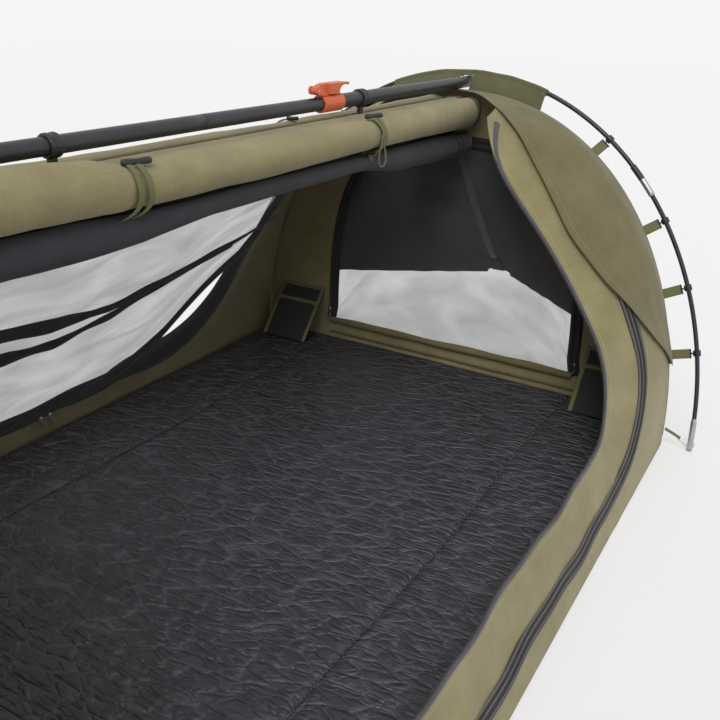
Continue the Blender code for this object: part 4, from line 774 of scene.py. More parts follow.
# %% Netting zips and doorway bindings
near_line = doorway(DOOR_HALF, FOOT_DOOR, NEAR_SILL, DOOR_CORNER, top=0.868)
far_line = doorway(FAR_HEAD_DOOR, DOOR_HALF, DOOR_SILL, DOOR_CORNER, top=0.83)
at = np.linspace(0, 1, RIBBON_STEPS)
corner_flap = 0.062 * np.sin(np.pi * np.clip((at - 0.12) / 0.27, 0, 1)) ** 0.8
edge = [(-0.0012, -0.0030), (-0.0030, -0.0020), (-0.0026, 0.0), (-0.0005, 0.0016), (0.0025, 0.0016),
        (0.0045, 0.0004)]
for label, side, line, rim, flap in (("near", NEAR, near_line, -0.004, 0.0),
                                     ("far", FAR, far_line, -0.028, corner_flap)):
    tape = [(rim, -0.0030), (0.004, -0.0030), (0.024, -0.0030), (0.024, -0.0042), (0.004, -0.0050),
            (rim, -0.0044), (rim, -0.0030)]
    piece = wall_ribbon(label + "_mesh_zip_tape", side, line, tape, side, flap)
    dress(piece, [ZIP_TAPE], replaces=[label + "_mesh_zip"])
    dress(wall_ribbon(label + "_door_binding", side, line, edge, side), [EDGE_TAPE])
print("zips and bindings ready")

# %% [markdown]
# ## End walls
# An end wall is a flat arch of canvas, and the head one has a window. Rays from its middle meet
# both the window's outline and the arch's, and the cloth is the rows between. The foot wall is
# rows from the ground line up to the arch.

# %% Outlines of the end walls
ARCH_HALF, ARCH_TOP, END_FACE, RAY_HEIGHT = 0.6935, 0.9205, 1.0648, 0.42
WINDOW_HALF, WINDOW_SILL, WINDOW_RISE, WINDOW_POWER = 0.415, 0.13, 0.65, 3


def inside_arch(x, z):
    """True inside the arch of an end wall: |x/w|^p + |z/h|^p < 1."""
    reach = (np.abs(x) / ARCH_HALF) ** ARCH_POWER + (np.maximum(z, 0) / ARCH_TOP) ** ARCH_POWER
    return (z > GROUND) & (reach < 1)


def inside_window(x, z):
    """True inside the window, which is the same kind of arch on its sill."""
    rise = np.maximum(z - WINDOW_SILL, 0)
    reach = (np.abs(x) / WINDOW_HALF) ** WINDOW_POWER + (rise / WINDOW_RISE) ** WINDOW_POWER
    return (z > WINDOW_SILL) & (reach < 1)


def outline_at(inside, turns):
    """Points (x, z) where rays from the middle leave an outline, found by halving."""
    near, far = np.zeros(len(turns)), np.full(len(turns), 1.2)
    for _ in range(40):
        reach = (near + far) / 2
        hit = inside(reach * np.cos(turns), RAY_HEIGHT + reach * np.sin(turns))
        near, far = np.where(hit, reach, near), np.where(hit, far, reach)
    return np.stack((near * np.cos(turns), RAY_HEIGHT + near * np.sin(turns)), -1)


# %% Head wall
feet = [(side * x, z) for x, z in ((ARCH_HALF, GROUND), (WINDOW_HALF, WINDOW_SILL)) for side in (1, -1)]
corners = [math.atan2(z - RAY_HEIGHT, x) for x, z in feet]
turns = np.sort(np.concatenate((np.linspace(-np.pi, np.pi, 240, endpoint=False) + 0.003, corners)))
share = np.linspace(0, 1, 16)[:, None, None]
flat = outline_at(inside_window, turns) * (1 - share) + outline_at(inside_arch, turns) * share
x, z = flat[..., 0], flat[..., 1]
wave = 0.0022 * np.sin(np.pi * share[..., 0]) * folds(x, z, 21, 1.5, 5)
head_wall = surface("head_wall_cloth", xyz(x, END_FACE - np.abs(wave), z), wrap=True)
dress(thicken(head_wall, 0.0016), [HEM_CANVAS], replaces=["head_wall"])


# %% Foot wall
def fill_arch(arch, ground, rows):
    """(x, z) rows from a straight ground line up to an arch, and how far each point is from the edge."""
    count = len(arch)
    base = np.stack((np.linspace(arch[0, 0], arch[-1, 0], count), np.full(count, ground)), -1)
    share = np.linspace(0, 1, rows)[:, None, None]
    loose = np.sin(np.pi * share[..., 0]) * np.sin(np.linspace(0, np.pi, count))[None]
    flat = base * (1 - share) + arch * share
    return flat[..., 0], flat[..., 1], loose


arch = arch_points(np.radians(np.linspace(3, 177, 110)), ARCH_HALF, ARCH_TOP, ARCH_POWER)
x, z, loose = fill_arch(arch, GROUND, 60)
wave = 0.006 * loose ** 0.6 * folds(x, z * 0.6, 5, 0.8, 4.5)
foot_wall = surface("foot_wall_cloth", xyz(x, np.abs(wave) - END_FACE, z), flip=True)
dress(thicken(foot_wall, 0.0016), [CANVAS], replaces=["foot_wall"])
print("end walls ready")

# %% [markdown]
# ## Window
# The window is a netting panel behind a zip with two sliders. Its canvas cover is open and its
# lower flap is rolled up on the sill. The zip is a ribbon again, carried round the window's
# outline in the wall's plane.

# %% Window netting
WINDOW_STEPS, WINDOW_FACE, NET_FACE = 90, 1.0606, 1.0622
SILL_LINE, ZIP_END = 0.122, (0.424, 0.150)


def window_arch(grow):
    """(x, z) points up one side of the window, over the top and down the other, moved out by grow."""
    turns = np.radians(np.linspace(2, 178, WINDOW_STEPS))
    arch = arch_points(turns, WINDOW_HALF + grow, WINDOW_RISE + 2 * grow, WINDOW_POWER)
    return arch + [0, WINDOW_SILL - grow]


x, z, loose = fill_arch(window_arch(0.009), SILL_LINE - 0.001, 46)
net = surface("window_netting", xyz(x, NET_FACE + 0.004 * loose * folds(x, z, 8, 1, 3), z), flip=True)
dress(thicken(net, 0.0006), [WINDOW_NET], replaces=["window_mesh"])


# %% Window zip and sill band
def plane_ribbon(name, line, profile):
    """Carry a profile of (across, lift) along an (x, z) line in the head wall; lift goes into the bed."""
    way = along(line)
    outward = np.stack((way[:, 1], -way[:, 0]), -1)
    across, lift = np.array(profile).T
    place = line[:, None] + outward[:, None] * across[None, :, None]
    return surface(name, xyz(place[..., 0], WINDOW_FACE - lift[None], place[..., 1]))


line = resample(np.concatenate(([ZIP_END], window_arch(0.0), [(-ZIP_END[0], ZIP_END[1])])), 200)
band = [(-0.018, -0.0004), (-0.018, 0.0010), *coil_profile(-0.009, 0.006, 0.0022, 0.0010), (0.0, 0.0011),
        *coil_profile(0.009, 0.006, 0.0022, 0.0010), (0.018, 0.0010), (0.018, -0.0004)]
dress(plane_ribbon("window_zip_band", line, band), [ZIP_TAPE], replaces=["window_zip"])
line = np.stack((np.linspace(0.43, -0.43, 60), np.full(60, SILL_LINE)), -1)
band = [(-0.023, -0.0004), (-0.023, 0.0012), (-0.008, 0.0024), (0.010, 0.0024), (0.023, 0.0012),
        (0.023, -0.0004)]
dress(plane_ribbon("window_sill_band", line, band), [HEM_CANVAS])

# %% Rolled flap and window sliders
x = np.linspace(-0.42, 0.42, 70)
slack = 0.5 + 0.5 * folds(x, 0 * x, 12, 1, 5)
roll_path = xyz(x, 1.0495 + 0.001 * slack, 0.1515 + 0.003 * slack)
sill_roll = tube("window_flap_roll", roll_path, 0.0105 + 0.0012 * folds(x, 0 * x, 4, 2, 9), 18)
dress(sill_roll, [HOOD_CANVAS])
PULL_PATH = np.array([[0, 0, 0.016], [0, -0.002, 0.006], [0, -0.0035, -0.006], [0, -0.003, -0.020]])
PULL_RADII = np.array([0.8, 1, 1, 1, 1, 1, 1, 0.6, 0.45, 0.5, 0.5, 0.5, 0.5, 0.5, 0.5, 0.55, 0.6, 0.7, 0.8,
                       0.85, 0.85, 0.8, 0.7, 0.5])
for label, side in SIDES:
    path = resample(PULL_PATH + [side * ZIP_END[0], 1.0545, 0.176], len(PULL_RADII))
    radii = 0.0048 * soften(PULL_RADII, 1)
    slider = tube(f"window_{label}_slider", path, radii, 14, 0.5, reference=(1, 0, 0.01))
    dress(slider, [STEEL])
print("window ready")

# %% [markdown]
# ## Storm hoods
# A hood is a crescent of canvas over the gussets. It is sewn at the arch seam and free at its
# curved inner edge, where it flutters a little. Its width is read from a curve over the angle
# round the arch, because that edge is the line that the eye follows.

# %% Storm hoods
HOOD_CURVE = [(14, 0.012), (22, 0.12), (29, 0.186), (38, 0.243), (47, 0.26), (53, 0.245), (61, 0.225),
              (70, 0.182), (78.5, 0.117), (86, 0.035), (90, 0.028)]
FOOT_HOOD_SHARE = 0.6


def hood(name, end):
    """Crescent from one side over the ridge to the other: point = seam - width * free, lifted off the wall.

    The lift rises over the zip, and waves are added towards the free edge."""
    angle = np.linspace(float(angle_at(WALL_END, 0.25)), np.pi / 2, 80)
    width = soften(np.interp(np.degrees(angle), *zip(*HOOD_CURVE)), 6)
    width = width * (1.0 if end == HEAD else FOOT_HOOD_SHARE) * (1 + 0.02 * np.sin(9 * angle))
    share = np.linspace(0, 1, 26)[:, None]
    free = 1 - share
    flutter = ease(np.pi / 2 - angle, 0.12, 0.45)
    y = WALL_END - width * free
    hem = 0.0030 * (1 + folds(angle * 1.1, 0 * angle, 7 if end > 0 else 8, 0.4, 2.6))
    ripples = 0.0030 * folds(angle, y * 4, 11, 0.5, 3) + 0.0014 * folds(angle * 2, y * 9, 12, 1, 4)
    rise = 0.0100 * ease(free, 0.0, 0.3) + free ** 2 * hem + np.sin(np.pi * share) * ripples
    lift = 0.0012 + flutter * rise
    near = canvas_at(NEAR, end * y, angle, lift)
    far = canvas_at(FAR, end * y, angle, lift)[:, -2::-1]
    return thicken(surface(name, np.concatenate((near, far), 1), flip=end == HEAD), 0.0014)


for label, end, cut, area in (("head", HEAD, 0.27, 0.44), ("foot", FOOT, 0.16, 0.24)):
    cloth = hood(label + "_hood_cloth", end)
    dress(cloth, [HOOD_CANVAS], replaces=[label + "_storm_hood"])
print("hoods ready")

# %% [markdown]
# ## Window cover
# The cover is a cut of a cone: it runs from an arch on the wall to a small peak, with the crest
# almost straight and the flanks slightly sagging. Solidify gives the inner shell the next
# material, a darker canvas that paints shade on the underside.

# %% Cover
COVER_HALF, COVER_RISE, COVER_FOOT, COVER_ROOT = 0.427, 0.472, 0.32, 1.0653
COVER_TIP = np.array([0, 1.4903, 0.29])
COVER_TIP_SHARES = np.array([0.10, 0.0, 0.035])


def cover_point(share, reach):
    """Point of the cover: share runs round its arch, reach from the wall to its tip.

    Point = root + (end - root) * reach - sag, where end is the root's arch shrunk round the tip."""
    share, reach = np.broadcast_arrays(share, reach)
    angle = np.pi * share
    x, rise = np.moveaxis(arch_points(angle, COVER_HALF, COVER_RISE, WINDOW_POWER), -1, 0)
    root = xyz(x, COVER_ROOT, COVER_FOOT + rise)
    end = COVER_TIP + (root - np.array([0, COVER_ROOT, COVER_FOOT + COVER_RISE])) * COVER_TIP_SHARES
    place = root + (end - root) * reach[..., None]
    place[..., 2] -= 0.02 * np.sin(np.pi * reach) * np.sin(angle)
    return place


share, reach = np.meshgrid(np.linspace(0, 1, 100), np.linspace(0, 1, 46))
cone = cover_point(share, reach)
waves = 0.0022 * folds(share * 1.3, reach * 0.4, 31, 1.0, 4.0) + 0.0012 * folds(share * 2, reach, 32, 4, 9)
cone[..., 2] += np.sin(np.pi * reach) ** 0.5 * waves
# The inner shell takes the darker canvas: painted shade under the cover.
awning = thicken(surface("window_cover_cloth", cone, flip=True), 0.0016, second=True)
dress(awning, [HEM_CANVAS, UNDERSIDE_SHADE_CANVAS], replaces=["window_awning"])

# %% Strap under the crest, its patch and bar tack
reach = np.linspace(0.02, 0.985, 50)
crest = cover_point(0.5, reach)
drop = 0.0034 + 0.0030 * np.sin(np.pi * reach)
rows = [xyz(x, crest[:, 1] - 0.6 * drop, crest[:, 2] - drop) for x in (-0.0125, -0.006, 0, 0.006, 0.0125)]
strap = surface("window_cover_strap", np.stack(rows, 1), flip=True)
dress(thicken(strap, 0.0014, 0.0), [WEBBING], replaces=["awning_strap"])
crest = cover_point(0.5, np.linspace(0.87, 0.99, 8))
rows = [xyz(x, crest[:, 1] - 0.0040, crest[:, 2] - 0.0062) for x in np.linspace(-0.022, 0.022, 7)]
patch = surface("window_cover_patch", np.stack(rows, 1), flip=True)
dress(thicken(patch, 0.0016, 0.0), [ZIP_TAPE])
middle = cover_point(0.5, np.array([0.925]))[0]
turn = np.linspace(0, 2 * np.pi, 20, endpoint=False)
rows = [xyz(r * np.cos(turn), middle[1] - 0.0052 - h, middle[2] - 0.0078 - h * 1.1 + r * np.sin(turn))
        for r, h in ((0.0045, 0.0), (0.0042, 0.0009), (0.0030, 0.0014))]
tack = surface("window_cover_bartack", np.stack(rows), wrap=True, close=True)
dress(tack, [RED])
print("window cover ready")

# %% [markdown]
# ## Rolled doors
# A rolled door is a spiral: the radius grows by one cloth thickness and a little air in each
# turn, and the last turn leads up to the roof strip. The radius also changes along the length,
# where the ties pinch the roll. The door's zip tape shows at both ends as a dark edge.

# %% Spiral rolls
ROLL_OUT, ROLL_HEIGHT = 0.046, 0.868


def rolled(name, side, x, z, half, stations, core, turns, start, lead, seed, tape=0.022, thickness=0.002,
           squash=(1.0, 1.0), drop=((0.0, 0.0),)):
    """Rolled sheet: point = middle + radius * spiral share * (cos, sin), along the roll's length.

    The outside radius and the drop of the middle come from (y, number) stations, dents are folds
    in it, and lead gives the (x, z) places of the last part, up to the roof strip."""
    y = np.unique(np.concatenate((np.linspace(-half, half, 170), [-half + tape, half - tape])))
    radius = soften(np.interp(y, *zip(*stations)), 2) - thickness
    spin = np.linspace(0, turns * 2 * np.pi, int(turns * 30))
    spiral = core + (1 - core) * spin / spin[-1]
    angle = start + spin - spin[-1]
    dents = (0.038 * folds(y[:, None], angle[None] * 0.12, seed, 1.2, 5.0)
             + 0.012 * folds(y[:, None], angle[None] * 0.3, seed + 1, 6, 14))
    reach = radius[:, None] * spiral * (1 + dents * spiral)
    low = np.interp(y, *zip(*drop))[:, None]
    roll = xyz(side * (x + squash[0] * reach * np.cos(angle)), y[:, None],
               z - low + squash[1] * reach * np.sin(angle))
    rise = np.stack([xyz(side * lead_x, y, lead_z) for lead_x, lead_z in lead], 1)
    edges = np.abs((y[1:] + y[:-1]) / 2) > half - tape
    cloth = surface(name, np.concatenate((roll, rise), 1), flip=side == NEAR, dark_rows=edges)
    return thicken(cloth, thickness)


# %% Canvas rolls
NEAR_STATIONS = [(-0.99, 0.047), (-0.60, 0.0475), (-0.31, 0.046), (-0.26, 0.041), (-0.235, 0.0345),
                 (-0.20, 0.037), (-0.10, 0.041), (0.10, 0.041), (0.35, 0.0395), (0.46, 0.037),
                 (0.49, 0.0345), (0.52, 0.037), (0.65, 0.041), (0.90, 0.043), (0.99, 0.044)]
NEAR_DROP = [(-0.99, -0.010), (-0.75, -0.018), (-0.42, -0.018), (-0.30, -0.010), (-0.24, -0.001),
             (-0.18, 0.0), (0.99, 0.0)]
FAR_STATIONS = [(-0.99, 0.045), (-0.30, 0.045), (0.20, 0.044), (0.31, 0.040), (0.42, 0.043), (0.90, 0.044),
                (0.99, 0.045)]
ROLL_LEAD = [(0.0160, 0.9075), (0.004, 0.9068)]
near_roll = rolled("near_rolled_door", NEAR, ROLL_OUT, ROLL_HEIGHT, half=1.02, stations=NEAR_STATIONS,
                   core=0.16, turns=5.0, start=math.radians(118), lead=ROLL_LEAD, seed=41, drop=NEAR_DROP)
far_roll = rolled("far_rolled_door", FAR, ROLL_OUT, ROLL_HEIGHT, half=0.99, stations=FAR_STATIONS,
                  core=0.16, turns=5.0, start=math.radians(118), lead=ROLL_LEAD, seed=51)
for roll, node in ((near_roll, "near_door_roll"), (far_roll, "far_door_roll")):
    dress(roll, [CANVAS, ZIP_TAPE], replaces=[node])

# %% Netting roll and roof strip
MESH_STATIONS = [(-0.97, 0.031), (-0.35, 0.031), (-0.22, 0.025), (-0.05, 0.020), (0.20, 0.019), (0.40, 0.019),
                 (0.49, 0.018), (0.60, 0.028), (0.80, 0.033), (0.97, 0.034)]
MESH_DROP = [(-0.97, -0.007), (-0.467, -0.0150), (-0.30, -0.010), (-0.22, -0.008), (-0.05, -0.0140),
             (0.20, -0.0150), (0.45, -0.013), (0.60, -0.001), (0.80, 0.004), (0.97, 0.008)]
MESH_LEAD = [(0.006, 0.83), (0.0012, 0.86), (0.0010, 0.9030)]
mesh_roll = rolled("near_rolled_netting", NEAR, 0.044, 0.7925, half=1.015, stations=MESH_STATIONS,
                   core=0.25, turns=3.0, start=math.radians(150), lead=MESH_LEAD, seed=61, tape=0.016,
                   thickness=0.0012, squash=(0.86, 1.06), drop=MESH_DROP)
dress(mesh_roll, [NET_ROLLED, ZIP_TAPE], replaces=["near_mesh_roll"])

x, y = np.meshgrid(np.linspace(-0.0185, 0.0185, 7), np.linspace(-1.0625, 1.0625, 90))
strip = surface("roof_strip_cloth", xyz(x, y, 0.9050 + 0.0004 * folds(x, y, 5, 1, 4)))
dress(thicken(strip, 0.0014), [BINDING], replaces=["roof_strip"])
print("rolls ready")

# %% [markdown]
# ## Ties
# Two flat straps lie round the near roll at each tie. They hang from a bar toggle on top and end
# in small knots under the roll. The loops of the far roll and of the rolled netting are closed
# cords: a tube whose path comes back to its start.

# %% Loops, bars and straps
def loop_tube(name, points, radius, sides=10):
    """Closed tube along a closed path: rows wrap as well as columns."""
    points = np.asarray(points, float)
    extended = np.concatenate((points[-2:], points, points[:2]))
    rings = tube_points(extended, radius, sides, reference=(0.05, 1, 0.02))[2:-2]
    return weld(surface(name, np.concatenate((rings, rings[:1])), wrap=True, flip=True))


def bar(name, middle, way, half, radius):
    """Turned bar with rounded ends along a direction: radius times a small waist curve."""
    way = unit(np.asarray(way, float))
    shares = np.array([-1, -0.96, -0.88, -0.6, 0, 0.6, 0.88, 0.96, 1])
    radii = radius * np.array([0.35, 0.72, 0.95, 1.0, 0.8, 1.0, 0.95, 0.72, 0.35])
    return tube(name, np.asarray(middle) + shares[:, None] * half * way, radii, 14, reference=(0.3, 0.1, 1))


def on_roll(angle, place, reach):
    """Point at an angle and a reach from the near roll's middle, at a place along it."""
    return xyz(ROLL_OUT + reach * np.cos(angle), place, ROLL_HEIGHT + reach * np.sin(angle))


STRAP_WIDTH = 0.0105


def strap_round(name, angles, places, reaches):
    """Flat strap on the near roll: its middle line follows angles, places and reaches, and it bows out."""
    share = np.linspace(0, 1, 46)
    rows = (angles, places, reaches)
    angle, place, reach = (np.interp(share, np.linspace(0, 1, len(row)), row) for row in rows)
    angle = np.radians(angle)
    line = on_roll(angle, soften(place, 8), soften(reach, 6))
    out = xyz(np.cos(angle), 0, np.sin(angle))
    side = np.cross(along(line), out)
    across = np.linspace(-0.5, 0.5, 6) * STRAP_WIDTH
    bow = 0.0009 * (1 - (2 * across / STRAP_WIDTH) ** 2)
    grid = line[:, None] + across[None, :, None] * side[:, None] + bow[None, :, None] * out[:, None]
    return thicken(surface(name, grid), 0.0015, 0.0)


# %% Ties of the near roll
TOGGLE_REACH = 0.0442
TIES = ((-0.22, (((72, 20, -30, -80, -112), (-0.242, -0.244, -0.242, -0.258, -0.282),
                  (0.041, 0.0385, 0.0388, 0.044, 0.060)),
                 ((72, 20, -30, -85, -118), (-0.226, -0.224, -0.220, -0.236, -0.258),
                  (0.042, 0.0388, 0.0392, 0.045, 0.060)))),
        (0.49, (((72, 25, -20, -60, -84), (0.476, 0.488, 0.498, 0.490, 0.486),
                 (0.041, 0.0386, 0.0386, 0.044, 0.052)),
                ((72, 20, -40, -90, -116), (0.490, 0.500, 0.508, 0.500, 0.492),
                 (0.042, 0.0388, 0.0388, 0.040, 0.044)))))
for number, (place, straps) in enumerate(TIES, start=1):
    for part, (angles, places, reaches) in enumerate(straps, start=1):
        piece = strap_round(f"tie_{number}_strap_{part}", angles, places, reaches)
        dress(piece, [BINDING], replaces=[f"near_tie_{number}"])
        end = on_roll(math.radians(angles[-1]), places[-1], reaches[-1])
        knot = bar(f"tie_{number}_knot_{part}", end + [0.002, 0, 0.001], (0.1, 0.4, -1), 0.0075, 0.0052)
        dress(knot, [BINDING])
    middle = (ROLL_OUT + 0.34 * TOGGLE_REACH, place - 0.006, ROLL_HEIGHT + 0.94 * TOGGLE_REACH)
    toggle = bar(f"tie_{number}_toggle", middle, (0.25, 1, 0), 0.026, 0.0058)
    dress(toggle, [PLASTIC])

# %% Closed loops
spin = np.linspace(0, 2 * np.pi, 40, endpoint=False)
drop = xyz(0.083 + 0.004 * np.sin(2 * spin), 0.488 + 0.011 * np.cos(spin), 0.836 - 0.036 * np.sin(spin))
dress(loop_tube("tie_2_hanging_loop", drop, 0.0018), [BINDING])
ring = xyz(-ROLL_OUT + 0.042 * np.cos(spin), 0.31 + 0.004 * np.cos(spin), ROLL_HEIGHT + 0.042 * np.sin(spin))
dress(loop_tube("far_tie_loop", ring, 0.0020), [BINDING])
toggle = bar("far_tie_toggle", (-0.034, 0.31, 0.9135), (0.9, 0.35, 0), 0.013, 0.0042)
dress(toggle, [PLASTIC])
for number, place in enumerate((0.925, 0.952), start=1):
    ring = xyz(0.044 + 0.031 * np.cos(spin), place + 0.006 * np.sin(spin), 0.7850 + 0.038 * np.sin(spin))
    dress(loop_tube(f"netting_end_loop_{number}", ring, 0.0018), [PLASTIC])
print("ties ready")

# %% [markdown]
# ## Far netting door
# It hangs from the roof strip, passes under the far roll and comes down the wall's inside. The
# foot half is zipped. At the head half its lower edge falls free in a shallow curve, so it stands
# a little off its tape and folds. The edge carries a binding and half of the zip.

# %% Grid of the door
DOOR_DEPTH, DOOR_LAP, DOOR_ROWS, DOOR_COLUMNS = -0.0065, 0.007, 64, 150
OPEN_EDGE = [(-0.76, 0.0), (0.03, 0.12), (0.06, 0.145), (0.138, 0.168), (0.276, 0.200), (0.417, 0.278),
             (0.55, 0.425), (0.618, 0.487), (0.70, 0.535), (0.757, 0.56)]


def netting_door():
    """Grid of the door: rows from the free lower edge to under the roll, columns from foot to head.

    The angle round the body is shared out between the lower edge and the roll. The lift is a
    belly of waves in the middle, fine folds, and a swing inwards along the free edge."""
    half, head_end, corner = DOOR_HALF + DOOR_LAP, FAR_HEAD_DOOR + DOOR_LAP, DOOR_CORNER + DOOR_LAP
    y = np.linspace(-half, head_end, DOOR_COLUMNS)
    into = np.maximum(np.where(y > 0, y - head_end, -y - half) + corner, 0)
    sill = DOOR_SILL - DOOR_LAP + corner - np.sqrt(np.maximum(corner ** 2 - into ** 2, 0))
    open_edge = soften(np.interp(y, *zip(*OPEN_EDGE)), 4)
    low, high = angle_at(y, np.maximum(sill, open_edge)), angle_at_width(y, 0.16)
    share = np.linspace(0, 1, DOOR_ROWS)[:, None]
    angle = low + (high - low) * share
    slack = ease(y, 0.03, 0.45)[None] * (1 - ease(y, 0.62, head_end)[None])
    bell = np.cos(np.pi * y / (2 * half))[None]
    belly = np.sin(np.pi * share) * bell * (1 + 0.5 * np.sin(5 * np.pi * y / half + 4 * share))
    fine = folds(y[None], share * 0.9, 71, 1.2, 4.5) * 0.0022 * np.sin(np.pi * share) ** 0.5 * bell ** 0.3
    swing = slack * (1 - share) ** 3 * (1 + 0.6 * np.sin(9 * y))[None]
    lift = DOOR_DEPTH - 0.017 * belly + np.minimum(fine, 0.002) - 0.010 * swing
    return y, canvas_at(FAR, np.broadcast_to(y, angle.shape), angle, lift)


door_y, door = netting_door()
under = ROLL_HEIGHT - 0.045 - 0.0015
path = [(0.091, under), (0.068, under - 0.001), (0.046, under - 0.0015), (0.022, under + 0.001),
        (0.006, under + 0.008), (0.0010, under + 0.022), (0.0006, 0.9030)]
hang = np.stack([xyz(-x, door_y, z) for x, z in path])
netting_cloth = surface("far_netting", np.concatenate((door, hang)), flip=True)
dress(thicken(netting_cloth, 0.0006, 0.0), [NET], replaces=["far_mesh_door"])

# %% Edge of the door
rise = unit(door[3] - door[0])
face = np.cross(along(door[0]), rise)
face = face * np.sign(face[:, 0].mean())
profile = [(-0.036, 0.0016), (-0.006, 0.0022), (-0.004, 0.0040), (-0.001, 0.0040), (0.001, 0.0022),
           (0.030, 0.0016), (0.030, -0.0010), (-0.036, -0.0010), (-0.036, 0.0016)]
wide = (0.28 + 0.72 * ease(door_y, 0.06, 0.28))[:, None]
rows = []
for across, lift in profile:
    rows.append(door[0] + rise * across * (wide if abs(across) > 0.01 else 1) + face * lift)
dress(surface("far_netting_edge", np.stack(rows, 1)), [ZIP_TAPE])

# %% Gathered folds
FOLD_DEPTH, FOLD_STEPS = 0.026, 140
FOLD_LINES = [("upper", [(-0.72, 0.60), (-0.45, 0.555), (-0.17, 0.512), (-0.035, 0.487), (0.13, 0.478),
                         (0.29, 0.503), (0.42, 0.537), (0.56, 0.570), (0.665, 0.615)], 0.052, 3),
              ("lower", [(-0.72, 0.49), (-0.45, 0.455), (-0.146, 0.437), (-0.013, 0.424), (0.15, 0.450),
                         (0.29, 0.490), (0.42, 0.525), (0.52, 0.548)], 0.042, 6)]


def gathered_fold(name, line, width, seed):
    """Gathered fold of the netting: a soft, uneven band that hangs along a (y, z) line of the door.

    Half its width is a sum of waves along the line, and its middle bulges into the bed."""
    y, z = resample(line, FOLD_STEPS).T
    at = np.linspace(0.02, 0.98, FOLD_STEPS)
    swell = 0.55 + 0.30 * folds(y, 0 * y, seed, 1.5, 6) + 0.15 * np.sin(np.pi * np.linspace(0, 1, FOLD_STEPS))
    half = width / 2 * np.clip(swell, 0.45, 1.0) * np.sin(np.pi * at) ** 0.25
    across = np.linspace(-1, 1, 9)[None]
    bulge = 0.004 * (1 - across ** 2) * np.clip(swell, 0.3, 1)[:, None]
    lift = 0.0012 * folds(y[:, None], across * 0.05, seed + 3, 2, 9) - FOLD_DEPTH - bulge
    place_z = z[:, None] + half[:, None] * across
    place_y = np.broadcast_to(y[:, None], place_z.shape)
    return thicken(surface(name, canvas_at(FAR, place_y, angle_at(place_y, place_z), lift)), 0.0008, 0.0)


for label, line, width, seed in FOLD_LINES:
    dress(gathered_fold(f"far_netting_{label}_fold", line, width, seed), [NET_ROLLED])
print("netting door ready")

# %% [markdown]
# ## Mattress
# A foam mattress in a thin, loose cover. The section is a rounded slab with two lengthwise seams.
# Crossing sums of folded waves press soft creases into the top, and the fine crinkle is bump.

# %% Seams and creases
SEAMS = (-0.42, 0.42)


def seam_at(place, y):
    """How far out a lengthwise seam lies: its place and a slow wave along the length."""
    return place + 0.006 * np.sin(6 * y + place)


def ridged(x, y, seed, pace, turn, spread, count):
    """Sharp-crested creases that run roughly one way: 1 - |sin| of bent waves, averaged."""
    rng = np.random.default_rng(seed)
    total = np.zeros_like(x)
    for _ in range(count):
        a = turn + rng.uniform(-spread, spread)
        p = pace * rng.uniform(0.7, 1.4)
        bend = 0.35 * np.sin(2 * np.pi * (x * rng.uniform(2, 5) + y * rng.uniform(2, 5)) + rng.uniform(0, 6))
        wave = np.abs(np.sin(np.pi * p * (-x * math.sin(a) + y * math.cos(a)) + bend * 3 + rng.uniform(0, 6)))
        slow = 2 * np.pi * (x * rng.uniform(1.5, 4) + y * rng.uniform(1.5, 4)) + rng.uniform(0, 6)
        total += (1 - wave) ** 1.5 * ease(np.sin(slow), -0.3, 0.8)
    return total / count


# %% Mattress slab
def mattress():
    """Rounded slab: rows along the length, columns round the section; its ends are rounded like its sides.

    The top is lifted by a crown, bulges and three sets of creases, and drawn down along the seams."""
    top_z, low_z, radius, half, end, steps = 0.090, 0.0022, 0.018, 0.6685, 1.0595, 342
    x = np.linspace(-half + radius, half - radius, 218)
    turn = np.linspace(np.pi / 2, 0, 6)[1:]
    side = np.stack((half - radius + radius * np.cos(turn), top_z - radius + radius * np.sin(turn)), -1)
    down = np.array([[half, 0.05], [half - 0.002, 0.02], [half - 0.012, low_z + 0.002]])
    bottom = np.stack((np.linspace(half - 0.03, -half + 0.03, 20), np.full(20, low_z)), -1)
    top = np.stack((x, np.full_like(x, top_z)), -1)
    ring = np.concatenate((top, side, down, bottom, (down * [-1, 1])[::-1], (side * [-1, 1])[::-1]))
    turn = np.linspace(np.pi / 2, 0.15, 5)[1:]
    cap_y, cap_inset = end - radius + radius * np.cos(turn), radius - radius * np.sin(turn)
    y = np.concatenate((-cap_y[::-1], np.linspace(-end + radius, end - radius, steps), cap_y))
    inset = np.concatenate((cap_inset[::-1], np.zeros(steps), cap_inset))[:, None]
    x = ring[None, :, 0] * (1 - inset / half)
    z = ring[None, :, 1] - inset * np.where(ring[None, :, 1] > 0.04, 1.0, 0.0)
    y = np.broadcast_to(y[:, None], x.shape)
    inside = np.clip((half - np.abs(x)) / 0.06, 0, 1) * np.clip((end - np.abs(y)) / 0.06, 0, 1)
    crown = 0.0035 * (1 - (x / half) ** 2)
    creased = (0.0034 * ridged(x, y, 5, 26, 0.53, 0.3, 7) + 0.0024 * ridged(x, y, 6, 52, 0.53, 0.45, 7)
               + 0.0020 * ridged(x, y, 7, 34, -0.9, 0.4, 5))
    bulk = 0.0022 * folds(x, y, 8, 0.8, 3.5)
    seam = sum(np.exp(-((x - seam_at(place, y)) / 0.007) ** 2) for place in SEAMS)
    soft = crown + inside * (bulk + creased - 0.0045 * seam) - 0.0015
    on_top = (ring[:, 1] > top_z - 0.5 * radius)[None]
    return np.stack((x, y, z + np.where(on_top, soft, 0.0)), -1)


bed = surface("mattress_with_cover", mattress(), wrap=True, close=True, flip=True)
dress(bed, [COVER], replaces=["mattress_cover", "mattress_core"])
y = np.linspace(-1.03, 1.03, 240)
for label, side in SIDES:
    path = xyz(seam_at(side * SEAMS[1], y), y, 0.0905 + 0.0010 * np.sin(23 * y))
    dress(tube(f"mattress_{label}_seam", path, 0.0018, 8, 0.6), [COVER])
print("mattress ready")

